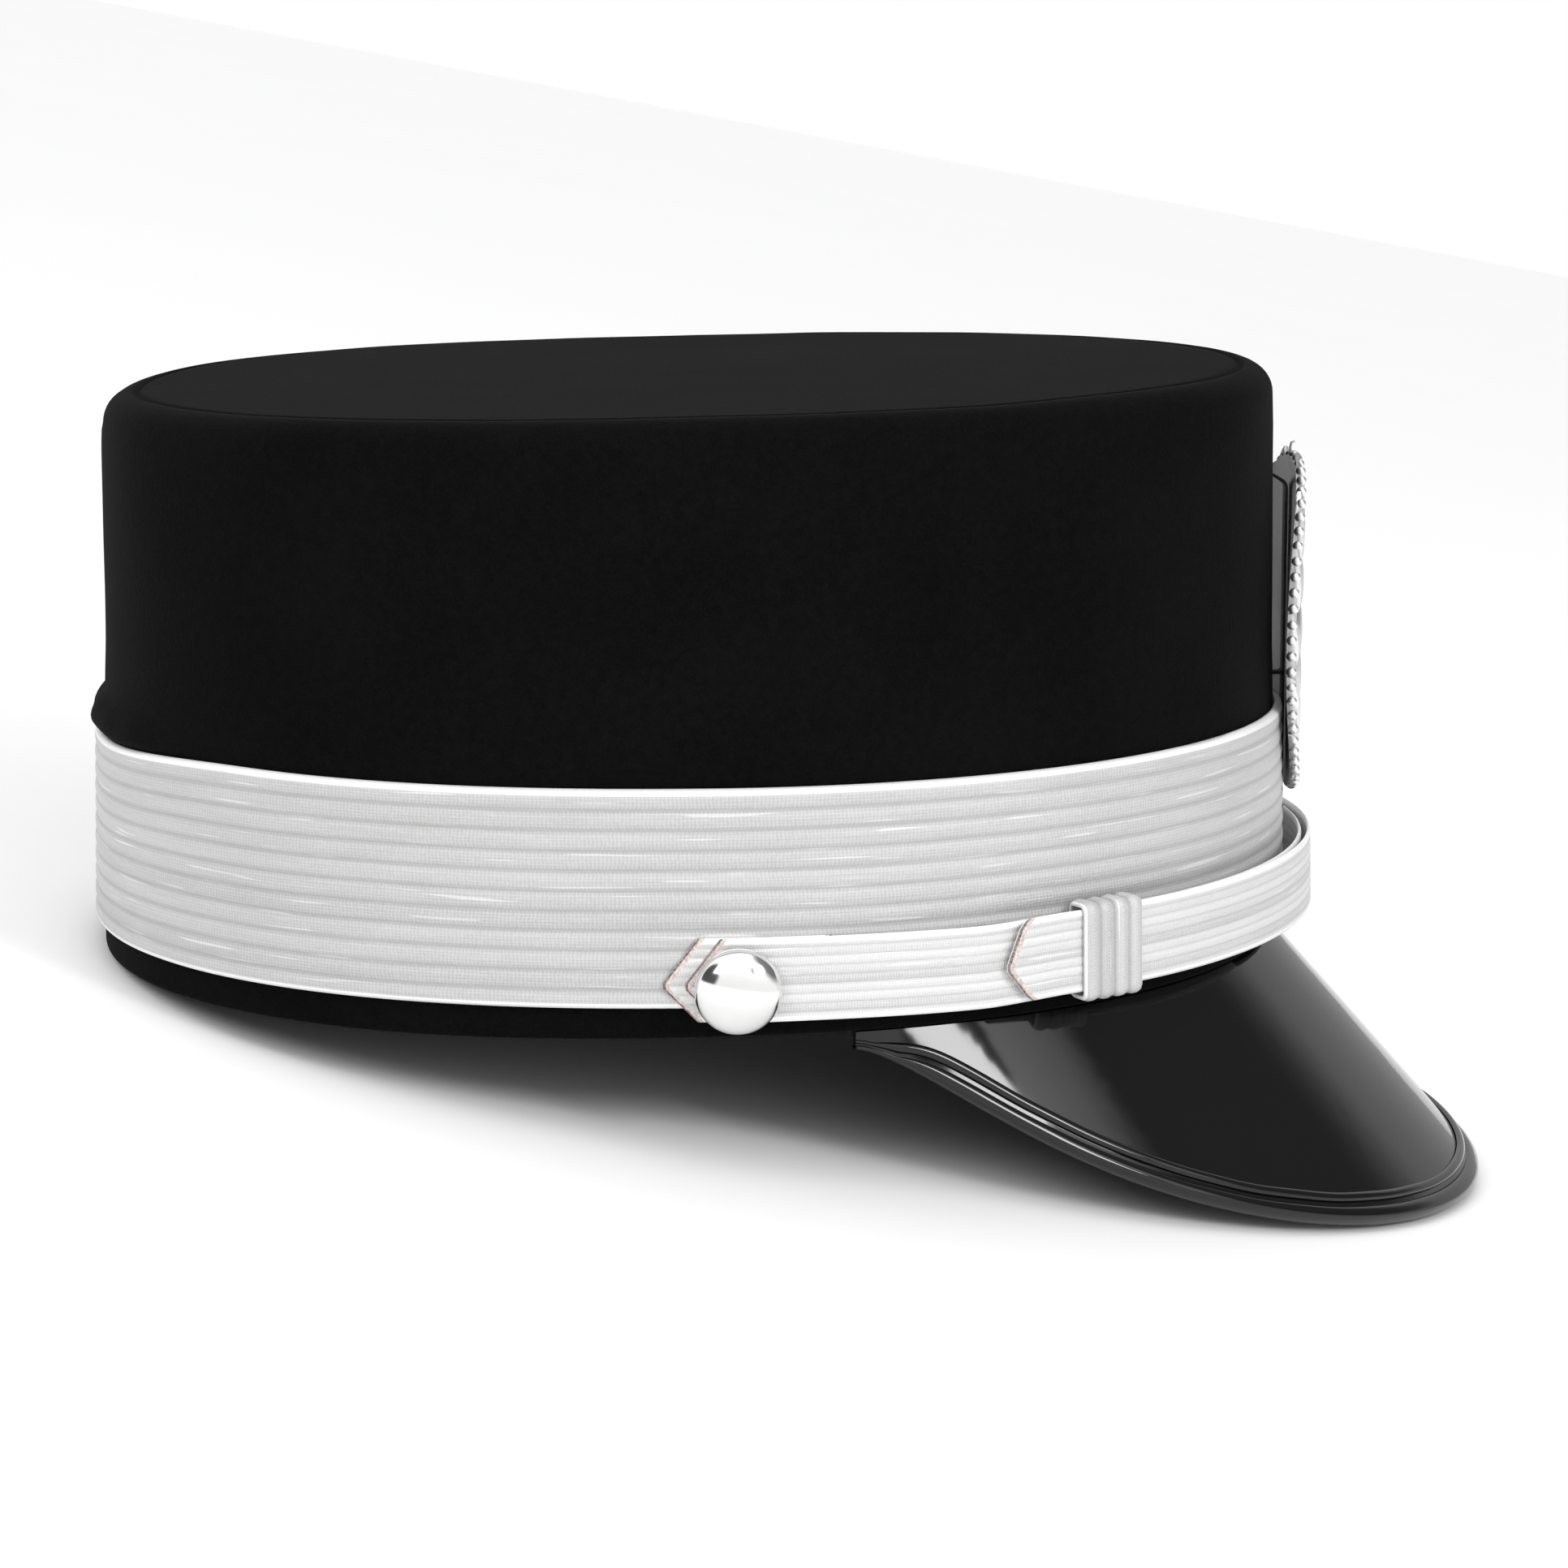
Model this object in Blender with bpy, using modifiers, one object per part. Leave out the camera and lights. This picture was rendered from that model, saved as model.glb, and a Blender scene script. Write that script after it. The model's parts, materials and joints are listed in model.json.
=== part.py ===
# Fatigue cap: a drum-shaped wool crown with a ribbed braid band, a two-piece chin strap
# on two domed buttons, a cast badge on its holder, and a patent visor with a rolled rim.
# Units are metres and +Z is up. The cap is modelled level, with its front along +X and the
# bottom of its hem at height zero. It is then tipped to stand as it does by itself on a
# table, on the back of its hem and the front of its visor.

import math

import bmesh
import bpy
from mathutils import Matrix, Vector

# Clearance between neighbouring pieces, and the wider one between faceted curves
GAP = 0.0003
CURVE_GAP = 0.00045

# Crown, outside sizes, with a superellipse as its outline from above (power 2 is an ellipse)
CROWN_LENGTH = 0.200
CROWN_WIDTH = 0.164
CROWN_HEIGHT = 0.0962
CROWN_WALL = 0.0022
FRONT_FULLNESS = 1.95
BACK_FULLNESS = 2.23
TOP_FULLNESS = 0.14
HEM_FLARE = 0.0028
HEM_ROUNDING = 0.0008
HEM_DROP = 0.0007
HEM_DROP_START = math.radians(80)
HEM_DROP_END = math.radians(120)
TOP_RISE = 0.0040
EDGE_RADIUS = 0.0048
TOP_SEAM_WIDTH = 0.0016
TOP_SEAM_DEPTH = 0.0005
CROWN_STATIONS = 60

# The roll of cloth that stands over the band at the back, where it presses the band down
ROLL_HEIGHT = 0.0054
ROLL_DEPTH = 0.0021
ROLL_START = math.radians(138)
ROLL_END = math.radians(166)
BAND_DIP = 0.0020

# Band
BAND_LOW = 0.0050
BAND_HEIGHT = 0.0346
BAND_THICKNESS = 0.0014
BAND_RIBS = 11
RIB_DEPTH = 0.0004

# Visor, whose slope and depth are measured from the hem at the front and at its corners
VISOR_THICKNESS = 0.0015
VISOR_DEPTH = 0.0562
VISOR_CORNER_DEPTH = 0.0020
VISOR_CORNER = math.radians(76.2)
VISOR_SLOPE = math.radians(48.5)
VISOR_CORNER_SLOPE = math.radians(71.5)
VISOR_SLOPE_POWER = 3
VISOR_SWEEP = 2.45
VISOR_HOLLOW = 1.49
VISOR_FAN = 1.35
VISOR_INSET = 0.0012
FLANGE_HEIGHT = 0.0090
VISOR_STATIONS = 36

# Rolled rim on the visor's edge
RIM_LIP = 0.0044
RIM_LEAST_LIP = 0.0008
LIP_EASE = 4
RIM_UNDERLIP = 0.0036
RIM_GAP = 0.0006
RIM_WALL = 0.0006
RIM_SWELL = 0.0005
RIM_BEAD = 0.0008
RIM_NOSE = 0.0018

# Chin strap: from each button it stands off the band, then lifts a little towards the front
STRAP_WIDTH = 0.0133
STRAP_THICKNESS = 0.0013
STRAP_SHOULDER = 0.6
STRAP_EDGE = 0.0005
STRAP_HEIGHT = 0.0098
STRAP_STANDOFF = 0.0016
STANDOFF_START = math.radians(82)
STANDOFF_END = math.radians(60)
STRAP_LIFT = 0.0006
LIFT_START = math.radians(66)
LIFT_END = math.radians(57)
OVER_LIFT = 0.0005
OVER_PACE = 1.5
STRAP_POINT = 0.0053
TAB_POINT = 0.0104
TAB_LENGTH = 0.0130

# Slides on the chin strap
SLIDE_TURN = math.radians(52.6)
SLIDE_WIDTH = 0.0112
SLIDE_THICKNESS = 0.0009
SLIDE_RIBS = 4
SLIDE_RIB_DEPTH = 0.0003

# Buttons
BUTTON_TURN = math.radians(87.4)
BUTTON_HEIGHT = 0.0086
BUTTON_DIAMETER = 0.0137
BUTTON_DOME = 0.0042
BUTTON_COLLAR = 0.0008
COLLAR_SHARE = 0.72
BUTTON_STEPS = 20
STRAP_PAST_BUTTON = 0.0060

# Badge: its plate is lofted in upright strips, the two at its ends narrowed by PLATE_END
BADGE_HEIGHT = 0.0600
BADGE_WIDTH = 0.0480
BADGE_CENTRE = 0.0520
BADGE_LEAN = 0.00125
BADGE_PLATE = 0.0010
BADGE_RELIEF = 0.0009
LEAF_LENGTH = 0.0125
LEAF_WIDTH = 0.0056
LEAF_PAIRS = 7
LEAF_TOP = 0.3
LEAF_FOOT = 0.2
LEAF_OVERLAP = 0.08
PLATE_MARGIN = 0.0015
PLATE_STRIPS = 14
PLATE_END = 0.5
LEAF_SPLAY = math.radians(30)
WREATH_OPENING = math.radians(17)
BOSS_DIAMETER = 0.0190
BOSS_STRETCH = 1.2
BOSS_HEIGHT = 0.0011
STEM_SPREAD = 0.3
FIRST_LEAF = 0.4

# Holder behind the badge
HOLDER_WIDTH = 0.0020
HOLDER_THICKNESS = 0.0005
HOLDER_TOP = 0.0785
HOLDER_DROP = 0.0019
HOLDER_LOW = 0.0185
HOLDER_LINK = 0.0430

# Colour, roughness and metallic value of each finish
FINISHES = {
    "wool": ((0.007, 0.007, 0.0075), 0.95, 0.0),
    "silver_braid": ((0.62, 0.62, 0.63), 0.45, 0.55),
    "strap_braid": ((0.80, 0.80, 0.81), 0.40, 0.50),
    "patent": ((0.006, 0.006, 0.007), 0.12, 0.0),
    "button_silver": ((0.86, 0.86, 0.87), 0.12, 1.0),
    "badge_silver": ((0.60, 0.60, 0.61), 0.30, 1.0),
    "holder_black": ((0.010, 0.010, 0.011), 0.50, 0.0),
}

# Radial places, as distances out from the crown's wall
BAND_IN = GAP
BAND_OUT = BAND_IN + BAND_THICKNESS
STRAP_IN = BAND_OUT + GAP
STRAP_LAYER = STRAP_THICKNESS + GAP
HOLDER_BACK = BAND_OUT + GAP
HOLDER_FRONT = HOLDER_BACK + HOLDER_THICKNESS


def clear_scene():
    for thing in list(bpy.data.objects):
        bpy.data.objects.remove(thing, do_unlink=True)


def make_collection(name):
    group = bpy.data.collections.new(name)
    bpy.context.scene.collection.children.link(group)
    return group


def make_material(name):
    colour, roughness, metallic = FINISHES[name]
    material = bpy.data.materials.new(name)
    material.use_nodes = True
    shader = material.node_tree.nodes["Principled BSDF"]
    shader.inputs["Base Color"].default_value = (*colour, 1.0)
    shader.inputs["Roughness"].default_value = roughness
    shader.inputs["Metallic"].default_value = metallic
    return material


def add_part(name, mesh, material):
    """One named piece, smooth over its curves, carried by the empty that tips the cap."""
    part = bpy.data.objects.new(name, mesh)
    CAP.objects.link(part)
    part.parent = TIP
    mesh.materials.append(MATERIALS[material])
    mesh.shade_smooth()
    mesh.set_sharp_from_angle(angle=math.radians(35))
    return part


def mesh_from(work, name):
    mesh = bpy.data.meshes.new(name)
    work.to_mesh(mesh)
    work.free()
    return mesh


def smooth_step(value):
    share = min(max(value, 0.0), 1.0)
    return share * share * (3 - 2 * share)


def loft(name, sections, closed=True, ends="none"):
    """A skin through sections of equal point count.

    closed joins the last point of a section to its first. ends is none, last, both or
    joined: what becomes of the first and the last section."""
    work = bmesh.new()
    rows = [[work.verts.new(point) for point in section] for section in sections]
    count = len(rows[0])
    steps = list(zip(rows, rows[1:]))
    if ends == "joined":
        steps.append((rows[-1], rows[0]))
    for near, far in steps:
        for i in range(count if closed else count - 1):
            j = (i + 1) % count
            work.faces.new((near[i], near[j], far[j], far[i]))
    if ends in ("last", "both"):
        work.faces.new(rows[-1])
    if ends == "both":
        work.faces.new(list(reversed(rows[0])))
    if ends in ("both", "joined"):
        bmesh.ops.recalc_face_normals(work, faces=work.faces)
    return mesh_from(work, name)


def add_solidify(part, thickness):
    shell = part.modifiers.new("wall", "SOLIDIFY")
    shell.thickness = thickness
    shell.offset = -1.0
    shell.use_even_offset = True


def wall_point(turn, height, out=0.0):
    """A point out from the crown's wall, at a turn from the front and a height."""
    c, s = math.cos(turn), math.sin(turn)
    power = FRONT_FULLNESS if c > 0 else BACK_FULLNESS
    power += TOP_FULLNESS * share_between(height, BAND_LOW + BAND_HEIGHT, CROWN_HEIGHT)
    half_length, half_width = CROWN_LENGTH / 2, CROWN_WIDTH / 2
    x = math.copysign(abs(c) ** (2 / power), c)
    y = math.copysign(abs(s) ** (2 / power), s)
    away_x = math.copysign(abs(x) ** (power - 1), x) / half_length
    away_y = math.copysign(abs(y) ** (power - 1), y) / half_width
    away = Vector((away_x, away_y, 0)).normalized()
    flare = HEM_FLARE * (1 - height / CROWN_HEIGHT)
    return Vector((x * half_length, y * half_width, height)) + away * (flare + out)


def wall_away(turn):
    """The level direction straight out of the crown's wall."""
    return (wall_point(turn, 0, 1.0) - wall_point(turn, 0)).normalized()


def turn_along(turn, distance):
    """The turn reached by going a distance round the wall, to the left if it is positive."""
    steps, tiny = 40, 0.001
    for _ in range(steps):
        speed = (wall_point(turn + tiny, 0) - wall_point(turn, 0)).length / tiny
        turn += distance / steps / speed
    return turn


def round_turns():
    """Turns of the stations all round the crown."""
    return [2 * math.pi * i / CROWN_STATIONS for i in range(CROWN_STATIONS)]


def from_front(turn):
    """The turn from the front as an angle from 0 to pi, the same on both sides."""
    return abs(math.remainder(turn, 2 * math.pi))


def share_between(value, start, end):
    """A smooth share from 0 at the start to 1 at the end."""
    return smooth_step((value - start) / (end - start))


def hem_height(turn):
    """Height of the hem's bottom, which hangs a little lower round the back."""
    return -HEM_DROP * share_between(from_front(turn), HEM_DROP_START, HEM_DROP_END)


def top_height(x):
    """Height of the crown's flat top, which rises to the front."""
    return CROWN_HEIGHT + TOP_RISE * x / CROWN_LENGTH


def roll_share(turn):
    """How much of the roll at the back there is at this turn, from 0 to 1."""
    return share_between(from_front(turn), ROLL_START, ROLL_END)


def band_top(turn):
    """Height of the band's upper edge, which the roll presses down at the back."""
    return BAND_LOW + BAND_HEIGHT - BAND_DIP * roll_share(turn)


# Sections of the crown's wall: height as a share of HEM_ROUNDING, out as a share of it
HEM_SECTIONS = (
    ("turned edge", 0.0, -1.0),
    ("edge", 1.0, 0.0),
)

# Sections of the roll: height as a share of ROLL_HEIGHT, out as a share of ROLL_DEPTH
ROLL_SECTIONS = (
    ("foot", 0.00, 0.00),
    ("underside", 0.08, 0.75),
    ("crest", 0.38, 1.00),
    ("back", 0.72, 0.55),
    ("end", 1.00, 0.00),
)

# Angles of the sections on the rounded top edge
EDGE_TURNS = (0.0, 22.5, 45.0, 67.5, 90.0)


def make_crown():
    """One wool shell, open below: hem, wall, roll, rounded edge, seam and flat top."""
    turns = round_turns()
    rows = []
    for _name, up, out in HEM_SECTIONS:
        rows.append([wall_point(t, hem_height(t) + up * HEM_ROUNDING, out * HEM_ROUNDING)
                     for t in turns])
    for _name, up, out in ROLL_SECTIONS:
        rows.append([wall_point(t, band_top(t) + GAP + up * ROLL_HEIGHT,
                                out * ROLL_DEPTH * roll_share(t)) for t in turns])
    for angle in EDGE_TURNS:
        drop = EDGE_RADIUS * (1 - math.sin(math.radians(angle)))
        inset = EDGE_RADIUS * (1 - math.cos(math.radians(angle)))
        rows.append([on_top(t, inset, drop) for t in turns])
    rows.append([on_top(t, EDGE_RADIUS + TOP_SEAM_WIDTH / 2, TOP_SEAM_DEPTH) for t in turns])
    rows.append([on_top(t, EDGE_RADIUS + TOP_SEAM_WIDTH, 0) for t in turns])
    crown = add_part("crown", loft("crown", rows, ends="last"), "wool")
    add_solidify(crown, CROWN_WALL)


def on_top(turn, inset, drop):
    """A point of the crown inside its outline by an inset and below its top by a drop."""
    point = wall_point(turn, CROWN_HEIGHT, -inset)
    point.z = top_height(point.x) - drop
    return point


def make_band():
    """The ribbed braid, a closed ring with one crest to each rib."""
    profile = [(0.0, BAND_IN), (1.0, BAND_IN)]
    half_ribs = 2 * BAND_RIBS
    for i in range(half_ribs, -1, -1):
        depth = 0.0 if i % 2 else RIB_DEPTH
        profile.append((i / half_ribs, BAND_OUT - depth))
    sections = []
    for turn in round_turns():
        height = band_top(turn) - BAND_LOW
        sections.append([wall_point(turn, BAND_LOW + up * height, out) for up, out in profile])
    add_part("band", loft("band", sections, ends="joined"), "silver_braid")


def visor_turns():
    return [VISOR_CORNER * (2 * i / VISOR_STATIONS - 1) for i in range(VISOR_STATIONS + 1)]


def visor_depth(turn):
    """Depth from hem to edge: VISOR_SWEEP fills it out in front, VISOR_HOLLOW thins the corners."""
    share = min(abs(turn / VISOR_CORNER), 1.0)
    fill = (1 - share ** VISOR_SWEEP) ** VISOR_HOLLOW
    return VISOR_CORNER_DEPTH + (VISOR_DEPTH - VISOR_CORNER_DEPTH) * fill


def visor_down(turn):
    """Unit vector down the visor from the hem: rulings fan out more than the wall does."""
    share = abs(turn / VISOR_CORNER) ** VISOR_SLOPE_POWER
    slope = VISOR_SLOPE + (VISOR_CORNER_SLOPE - VISOR_SLOPE) * share
    away = wall_away(turn)
    heading = math.atan2(away.y, away.x) * VISOR_FAN
    level = Vector((math.cos(heading), math.sin(heading), 0))
    return level * math.cos(slope) - Vector((0, 0, math.sin(slope)))


def visor_point(turn, depth):
    """A point of the visor's upper face, down its ruling from the hem."""
    return wall_point(turn, -GAP, -VISOR_INSET) + visor_down(turn) * depth


def visor_frame(turn):
    """The middle of the visor's edge, the way out across the edge, and the face's normal."""
    tiny = 0.0005
    edge = visor_point(turn, visor_depth(turn))
    ahead = visor_point(turn + tiny, visor_depth(turn + tiny))
    back = visor_point(turn - tiny, visor_depth(turn - tiny))
    along = (ahead - back).normalized()
    normal = visor_down(turn).cross(along).normalized()
    outward = along.cross(normal).normalized()
    return edge - normal * VISOR_THICKNESS / 2, outward, normal


# Shares of the visor's depth where its upper face has a row of points
VISOR_ROWS = (0.0, 0.3, 0.65, 1.0)


def make_visor():
    """The patent sheet: a flange up inside the crown, a fold under the hem, and the fan."""
    inside = -CROWN_WALL - CURVE_GAP
    rows = []
    for turn in visor_turns():
        row = [wall_point(turn, FLANGE_HEIGHT, inside)]
        row.append(wall_point(turn, HEM_ROUNDING, inside))
        row.append(wall_point(turn, -GAP, inside + GAP))
        row += [visor_point(turn, share * visor_depth(turn)) for share in VISOR_ROWS]
        rows.append(row)
    visor = add_part("visor", loft("visor", rows, closed=False), "patent")
    add_solidify(visor, VISOR_THICKNESS)


# Outline of the rim's face: its place along the lip as a share of the bead, and its rise above
# the wall as shares of the bead and of the swell
RIM_FACE = (
    ("inner edge", 0.0, 0.00, 0.00),
    ("bead", 0.8, 0.55, 0.00),
    ("bead end", 1.6, 0.00, 0.00),
    ("groove", 2.2, 0.00, -0.40),
    ("roll start", 3.0, 0.00, 0.25),
)

# Outline of the rim's roll: its place as a share of the nose, its height as one of the wall's
RIM_ROLL = (
    ("over the edge", 0.45, 1.00),
    ("high nose", 0.85, 0.55),
    ("nose", 1.00, 0.00),
    ("low nose", 0.85, -0.55),
    ("under the edge", 0.40, -1.00),
)
CREST_SHARE = 0.22
CREST_SWELL = 0.5


def rim_section(lip):
    """Outline of the rim across the visor's edge: (out past the edge, up from mid-sheet).

    Its nose and its under lip shrink with the lip, so that they clear the fold at the corners."""
    inner = VISOR_THICKNESS / 2 + RIM_GAP
    outer = inner + RIM_WALL
    bead = min(RIM_BEAD, lip / 3)
    under = min(RIM_UNDERLIP, lip - RIM_LEAST_LIP)
    outline = [(-lip, inner)]
    for _name, way, rise, swell in RIM_FACE:
        outline.append((-lip + bead * way, outer + bead * rise + RIM_SWELL * swell))
    outline.append((-lip * CREST_SHARE, outer + RIM_SWELL * CREST_SWELL))
    nose = min(RIM_NOSE, CURVE_GAP + RIM_WALL + lip - RIM_LEAST_LIP)
    outline += [(nose * way, outer * rise) for _name, way, rise in RIM_ROLL]
    outline += [(-under, -outer), (-under, -inner)]
    return outline + [(CURVE_GAP, -inner), (CURVE_GAP, inner)]


def rim_lip(room):
    """The lip's width where the visor leaves it some room: narrower, without a kink."""
    room = max(room, RIM_LEAST_LIP)
    return room / (1 + (room / RIM_LIP) ** LIP_EASE) ** (1 / LIP_EASE)


def make_rim():
    """The rolled rim, a channel over the visor's edge, whose lip narrows to the corners."""
    sections = []
    for turn in visor_turns():
        middle, outward, normal = visor_frame(turn)
        room = (visor_depth(turn) - RIM_NOSE) * outward.dot(visor_down(turn))
        outline = rim_section(rim_lip(room))
        sections.append([middle + outward * x + normal * y for x, y in outline])
    add_part("visor_rim", loft("visor_rim", sections, ends="both"), "patent")


def under_strap(turn):
    """Centre height and inner face of the layer that lies next to the band."""
    off = share_between(-abs(turn), -STANDOFF_START, -STANDOFF_END)
    lift = share_between(-abs(turn), -LIFT_START, -LIFT_END)
    return STRAP_HEIGHT + STRAP_LIFT * lift, STRAP_IN + STRAP_STANDOFF * off


def over_strap(turn):
    """The same for the other layer: on the band at its own button, then over the first."""
    height, inner = under_strap(turn)
    over = smooth_step(OVER_PACE * (STANDOFF_START - turn) / (STANDOFF_START - STANDOFF_END))
    return height + OVER_LIFT * over, inner + STRAP_LAYER * over


# Ends of a strap: way in from the tip as a share of the point, lower and upper edge as
# shares of half the width
POINTED_END = (
    ("tip", 0.00, -0.20, -0.04),
    ("corners", 1.00, -1.00, 1.00),
)
TAB_END = (
    ("tip", 0.00, -0.22, -0.06),
    ("low corner", 0.36, -1.00, 0.32),
    ("high corner", 1.00, -1.00, 1.00),
)


def strap_mesh(name, place, stations):
    """A strap along the band. Each station is a turn and the places of both edges."""
    sections = []
    for turn, low, high in stations:
        low, high = low * STRAP_WIDTH / 2, high * STRAP_WIDTH / 2
        edge = min(STRAP_EDGE, (high - low) / 4)
        height, inner = place(turn)
        outer = inner + STRAP_THICKNESS
        shoulder = inner + STRAP_THICKNESS * STRAP_SHOULDER
        profile = (
            (low, inner), (high, inner), (high, shoulder),
            (high - edge, outer), (low + edge, outer), (low, shoulder),
        )
        sections.append([wall_point(turn, height + up, out) for up, out in profile])
    return loft(name, sections, ends="both")


def end_stations(tip, point, shape):
    """Stations of a cut end, from its tip inwards. A negative point goes to the right."""
    return [(turn_along(tip, point * way), low, high) for _name, way, low, high in shape]


def strap_stations(first, last):
    """Stations between two cut ends, on the band's own stations where they fall inside."""
    spacing = 2 * math.pi / CROWN_STATIONS
    low, high = first[-1][0] + spacing / 4, last[-1][0] - spacing / 4
    turns = [i * spacing for i in range(-CROWN_STATIONS // 2, CROWN_STATIONS // 2 + 1)]
    inside = [(turn, -1.0, 1.0) for turn in turns if low < turn < high]
    return first + inside + last[::-1]


def make_straps():
    """Two straps that overlap round the front, each from its own button past the far slide."""
    button_end = turn_along(BUTTON_TURN, STRAP_PAST_BUTTON + STRAP_POINT)
    tab_end = turn_along(SLIDE_TURN, SLIDE_WIDTH / 2 + TAB_LENGTH)
    right = strap_stations(end_stations(-button_end, STRAP_POINT, POINTED_END),
                           end_stations(tab_end, -TAB_POINT, TAB_END))
    left = strap_stations(end_stations(-tab_end, TAB_POINT, TAB_END),
                          end_stations(button_end, -STRAP_POINT, POINTED_END))
    add_part("strap_right", strap_mesh("strap_right", under_strap, right), "strap_braid")
    add_part("strap_left", strap_mesh("strap_left", over_strap, left), "strap_braid")


# Corners of a slide's loop, each cut off at a slant: out and up as signs
LOOP_CORNERS = (
    ("inner low", -1, -1), ("outer low", 1, -1), ("outer high", 1, 1), ("inner high", -1, 1),
)


def slide_loop(turn, swell):
    """Eight points round both strap layers, out from them by a swell: (height, out)."""
    low_height, inner = under_strap(turn)
    high_height, outer = over_strap(turn)
    middle_out = (inner + outer + STRAP_THICKNESS) / 2
    half_out = (outer + STRAP_THICKNESS - inner) / 2 + GAP + swell
    middle_up = (low_height + high_height) / 2
    half_up = (high_height - low_height + STRAP_WIDTH) / 2 + GAP + swell
    cut = GAP + swell / 2
    points = []
    for _name, out, up in LOOP_CORNERS:
        along_out = (middle_up + up * half_up, middle_out + out * (half_out - cut))
        along_up = (middle_up + up * (half_up - cut), middle_out + out * half_out)
        points += [along_out, along_up] if out * up < 0 else [along_up, along_out]
    return points


def make_slide(name, centre):
    """A ribbed loop round the two layers of the strap."""
    half_ribs = 2 * SLIDE_RIBS
    edges = [turn_along(centre, SLIDE_WIDTH * (i / half_ribs - 0.5)) for i in range(half_ribs + 1)]
    stations = [(turn, 0) for turn in (edges[-1], edges[SLIDE_RIBS], edges[0])]
    for i, turn in enumerate(edges):
        stations.append((turn, SLIDE_THICKNESS - (0 if i % 2 else SLIDE_RIB_DEPTH)))
    rings = [[wall_point(turn, *point) for point in slide_loop(turn, swell)]
             for turn, swell in stations]
    add_part(name, loft(name, list(zip(*rings)), ends="joined"), "strap_braid")


# Outline of a button from its crown to its back: radius and height as shares
BUTTON_PROFILE = (
    ("crown", 0.00, 1.00),
    ("high", 0.40, 0.91),
    ("shoulder", 0.72, 0.66),
    ("side", 0.93, 0.32),
    ("rim", 1.00, 0.06),
    ("rim under", 0.95, 0.00),
)


def make_button(name, turn, place):
    """A domed button with a collar, turned about its own axis and seated on the strap."""
    radius = BUTTON_DIAMETER / 2
    outline = [(r * radius, BUTTON_COLLAR + h * BUTTON_DOME) for _name, r, h in BUTTON_PROFILE]
    collar = radius * COLLAR_SHARE
    outline += [(collar, BUTTON_COLLAR), (collar, 0.0), (0.0, 0.0)]
    mesh = bpy.data.meshes.new(name)
    edges = [(i, i + 1) for i in range(len(outline) - 1)]
    mesh.from_pydata([(r, 0, h) for r, h in outline], edges, [])
    button = add_part(name, mesh, "button_silver")
    turned = button.modifiers.new("turned", "SCREW")
    turned.steps = turned.render_steps = BUTTON_STEPS
    turned.use_merge_vertices = True
    turned.merge_threshold = 0.00001
    turned.use_smooth_shade = True
    _height, inner = place(turn)
    button.location = wall_point(turn, BUTTON_HEIGHT, inner + STRAP_LAYER)
    button.rotation_mode = "QUATERNION"
    button.rotation_quaternion = wall_away(turn).to_track_quat("Z", "Y")


def front_point(across, height, out):
    """A point on the front of the cap, at a distance round the wall from the middle."""
    return wall_point(turn_along(0, across), height, out)


def badge_lean(height):
    """How much further off the wall the badge stands at a height than at its foot."""
    return BADGE_LEAN * max(0.0, (height - BADGE_CENTRE) / BADGE_HEIGHT + 0.5)


def badge_point(across, up, out):
    """A point of the badge, which is curved across as the crown's wall is."""
    height = BADGE_CENTRE + up
    return front_point(across, height, HOLDER_FRONT + GAP + badge_lean(height) + out)


def make_badge():
    """A cast oval: plate, two branches of leaves in relief, and a plain boss, all one body."""
    half_width, half_height = stem_radii()
    sections = []
    for i in range(PLATE_STRIPS + 1):
        angle = math.pi * (i + PLATE_END) / (PLATE_STRIPS + 2 * PLATE_END)
        across = -(half_width + PLATE_MARGIN) * math.cos(angle)
        up = (half_height + PLATE_MARGIN) * math.sin(angle)
        corners = ((-up, 0), (up, 0), (up, BADGE_PLATE), (-up, BADGE_PLATE))
        sections.append([badge_point(across, height, out) for height, out in corners])
    badge = add_part("badge", loft("badge", sections, ends="both"), "badge_silver")

    work = badge_relief()
    for vertex in work.verts:
        vertex.co = badge_point(*vertex.co)
    relief = bpy.data.objects.new("badge_relief", mesh_from(work, "badge_relief"))
    CUTTERS.objects.link(relief)
    relief.parent = TIP
    relief.hide_render = True
    relief.display_type = "WIRE"
    join = badge.modifiers.new("relief", "BOOLEAN")
    join.operation = "UNION"
    join.solver = "EXACT"
    join.use_self = True
    join.object = relief


def stem_radii():
    """Half width and half height of the oval that the two stems of leaves follow."""
    reach = LEAF_LENGTH * (1 - LEAF_OVERLAP) * math.sin(LEAF_SPLAY) + LEAF_WIDTH * STEM_SPREAD
    return BADGE_WIDTH / 2 - reach, BADGE_HEIGHT / 2 - reach


def badge_relief():
    """Leaves and boss as closed shapes with their feet in the plate: x across, y up, z out."""
    work = bmesh.new()
    half_width, half_height = stem_radii()
    foot, top = math.radians(-90), math.radians(90) - WREATH_OPENING
    for side in (-1, 1):
        for i in range(LEAF_PAIRS):
            angle = foot + (top - foot) * (i + FIRST_LEAF) / LEAF_PAIRS
            base = Vector((side * half_width * math.cos(angle), half_height * math.sin(angle), 0))
            heading = math.atan2(half_height * math.cos(angle), -side * half_width * math.sin(angle))
            for splay in (-1, 1):
                add_leaf(work, base, heading + splay * LEAF_SPLAY)
    foot = BADGE_PLATE * LEAF_FOOT
    boss = bmesh.ops.create_uvsphere(work, u_segments=20, v_segments=8, radius=0.5)["verts"]
    for vertex in boss:
        vertex.co.z = max(vertex.co.z, 0)
    dome = (BOSS_DIAMETER, BOSS_DIAMETER * BOSS_STRETCH, 2 * (BADGE_PLATE + BOSS_HEIGHT - foot))
    bmesh.ops.scale(work, vec=dome, verts=boss)
    bmesh.ops.translate(work, vec=(0, 0, foot), verts=boss)
    return work


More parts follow.
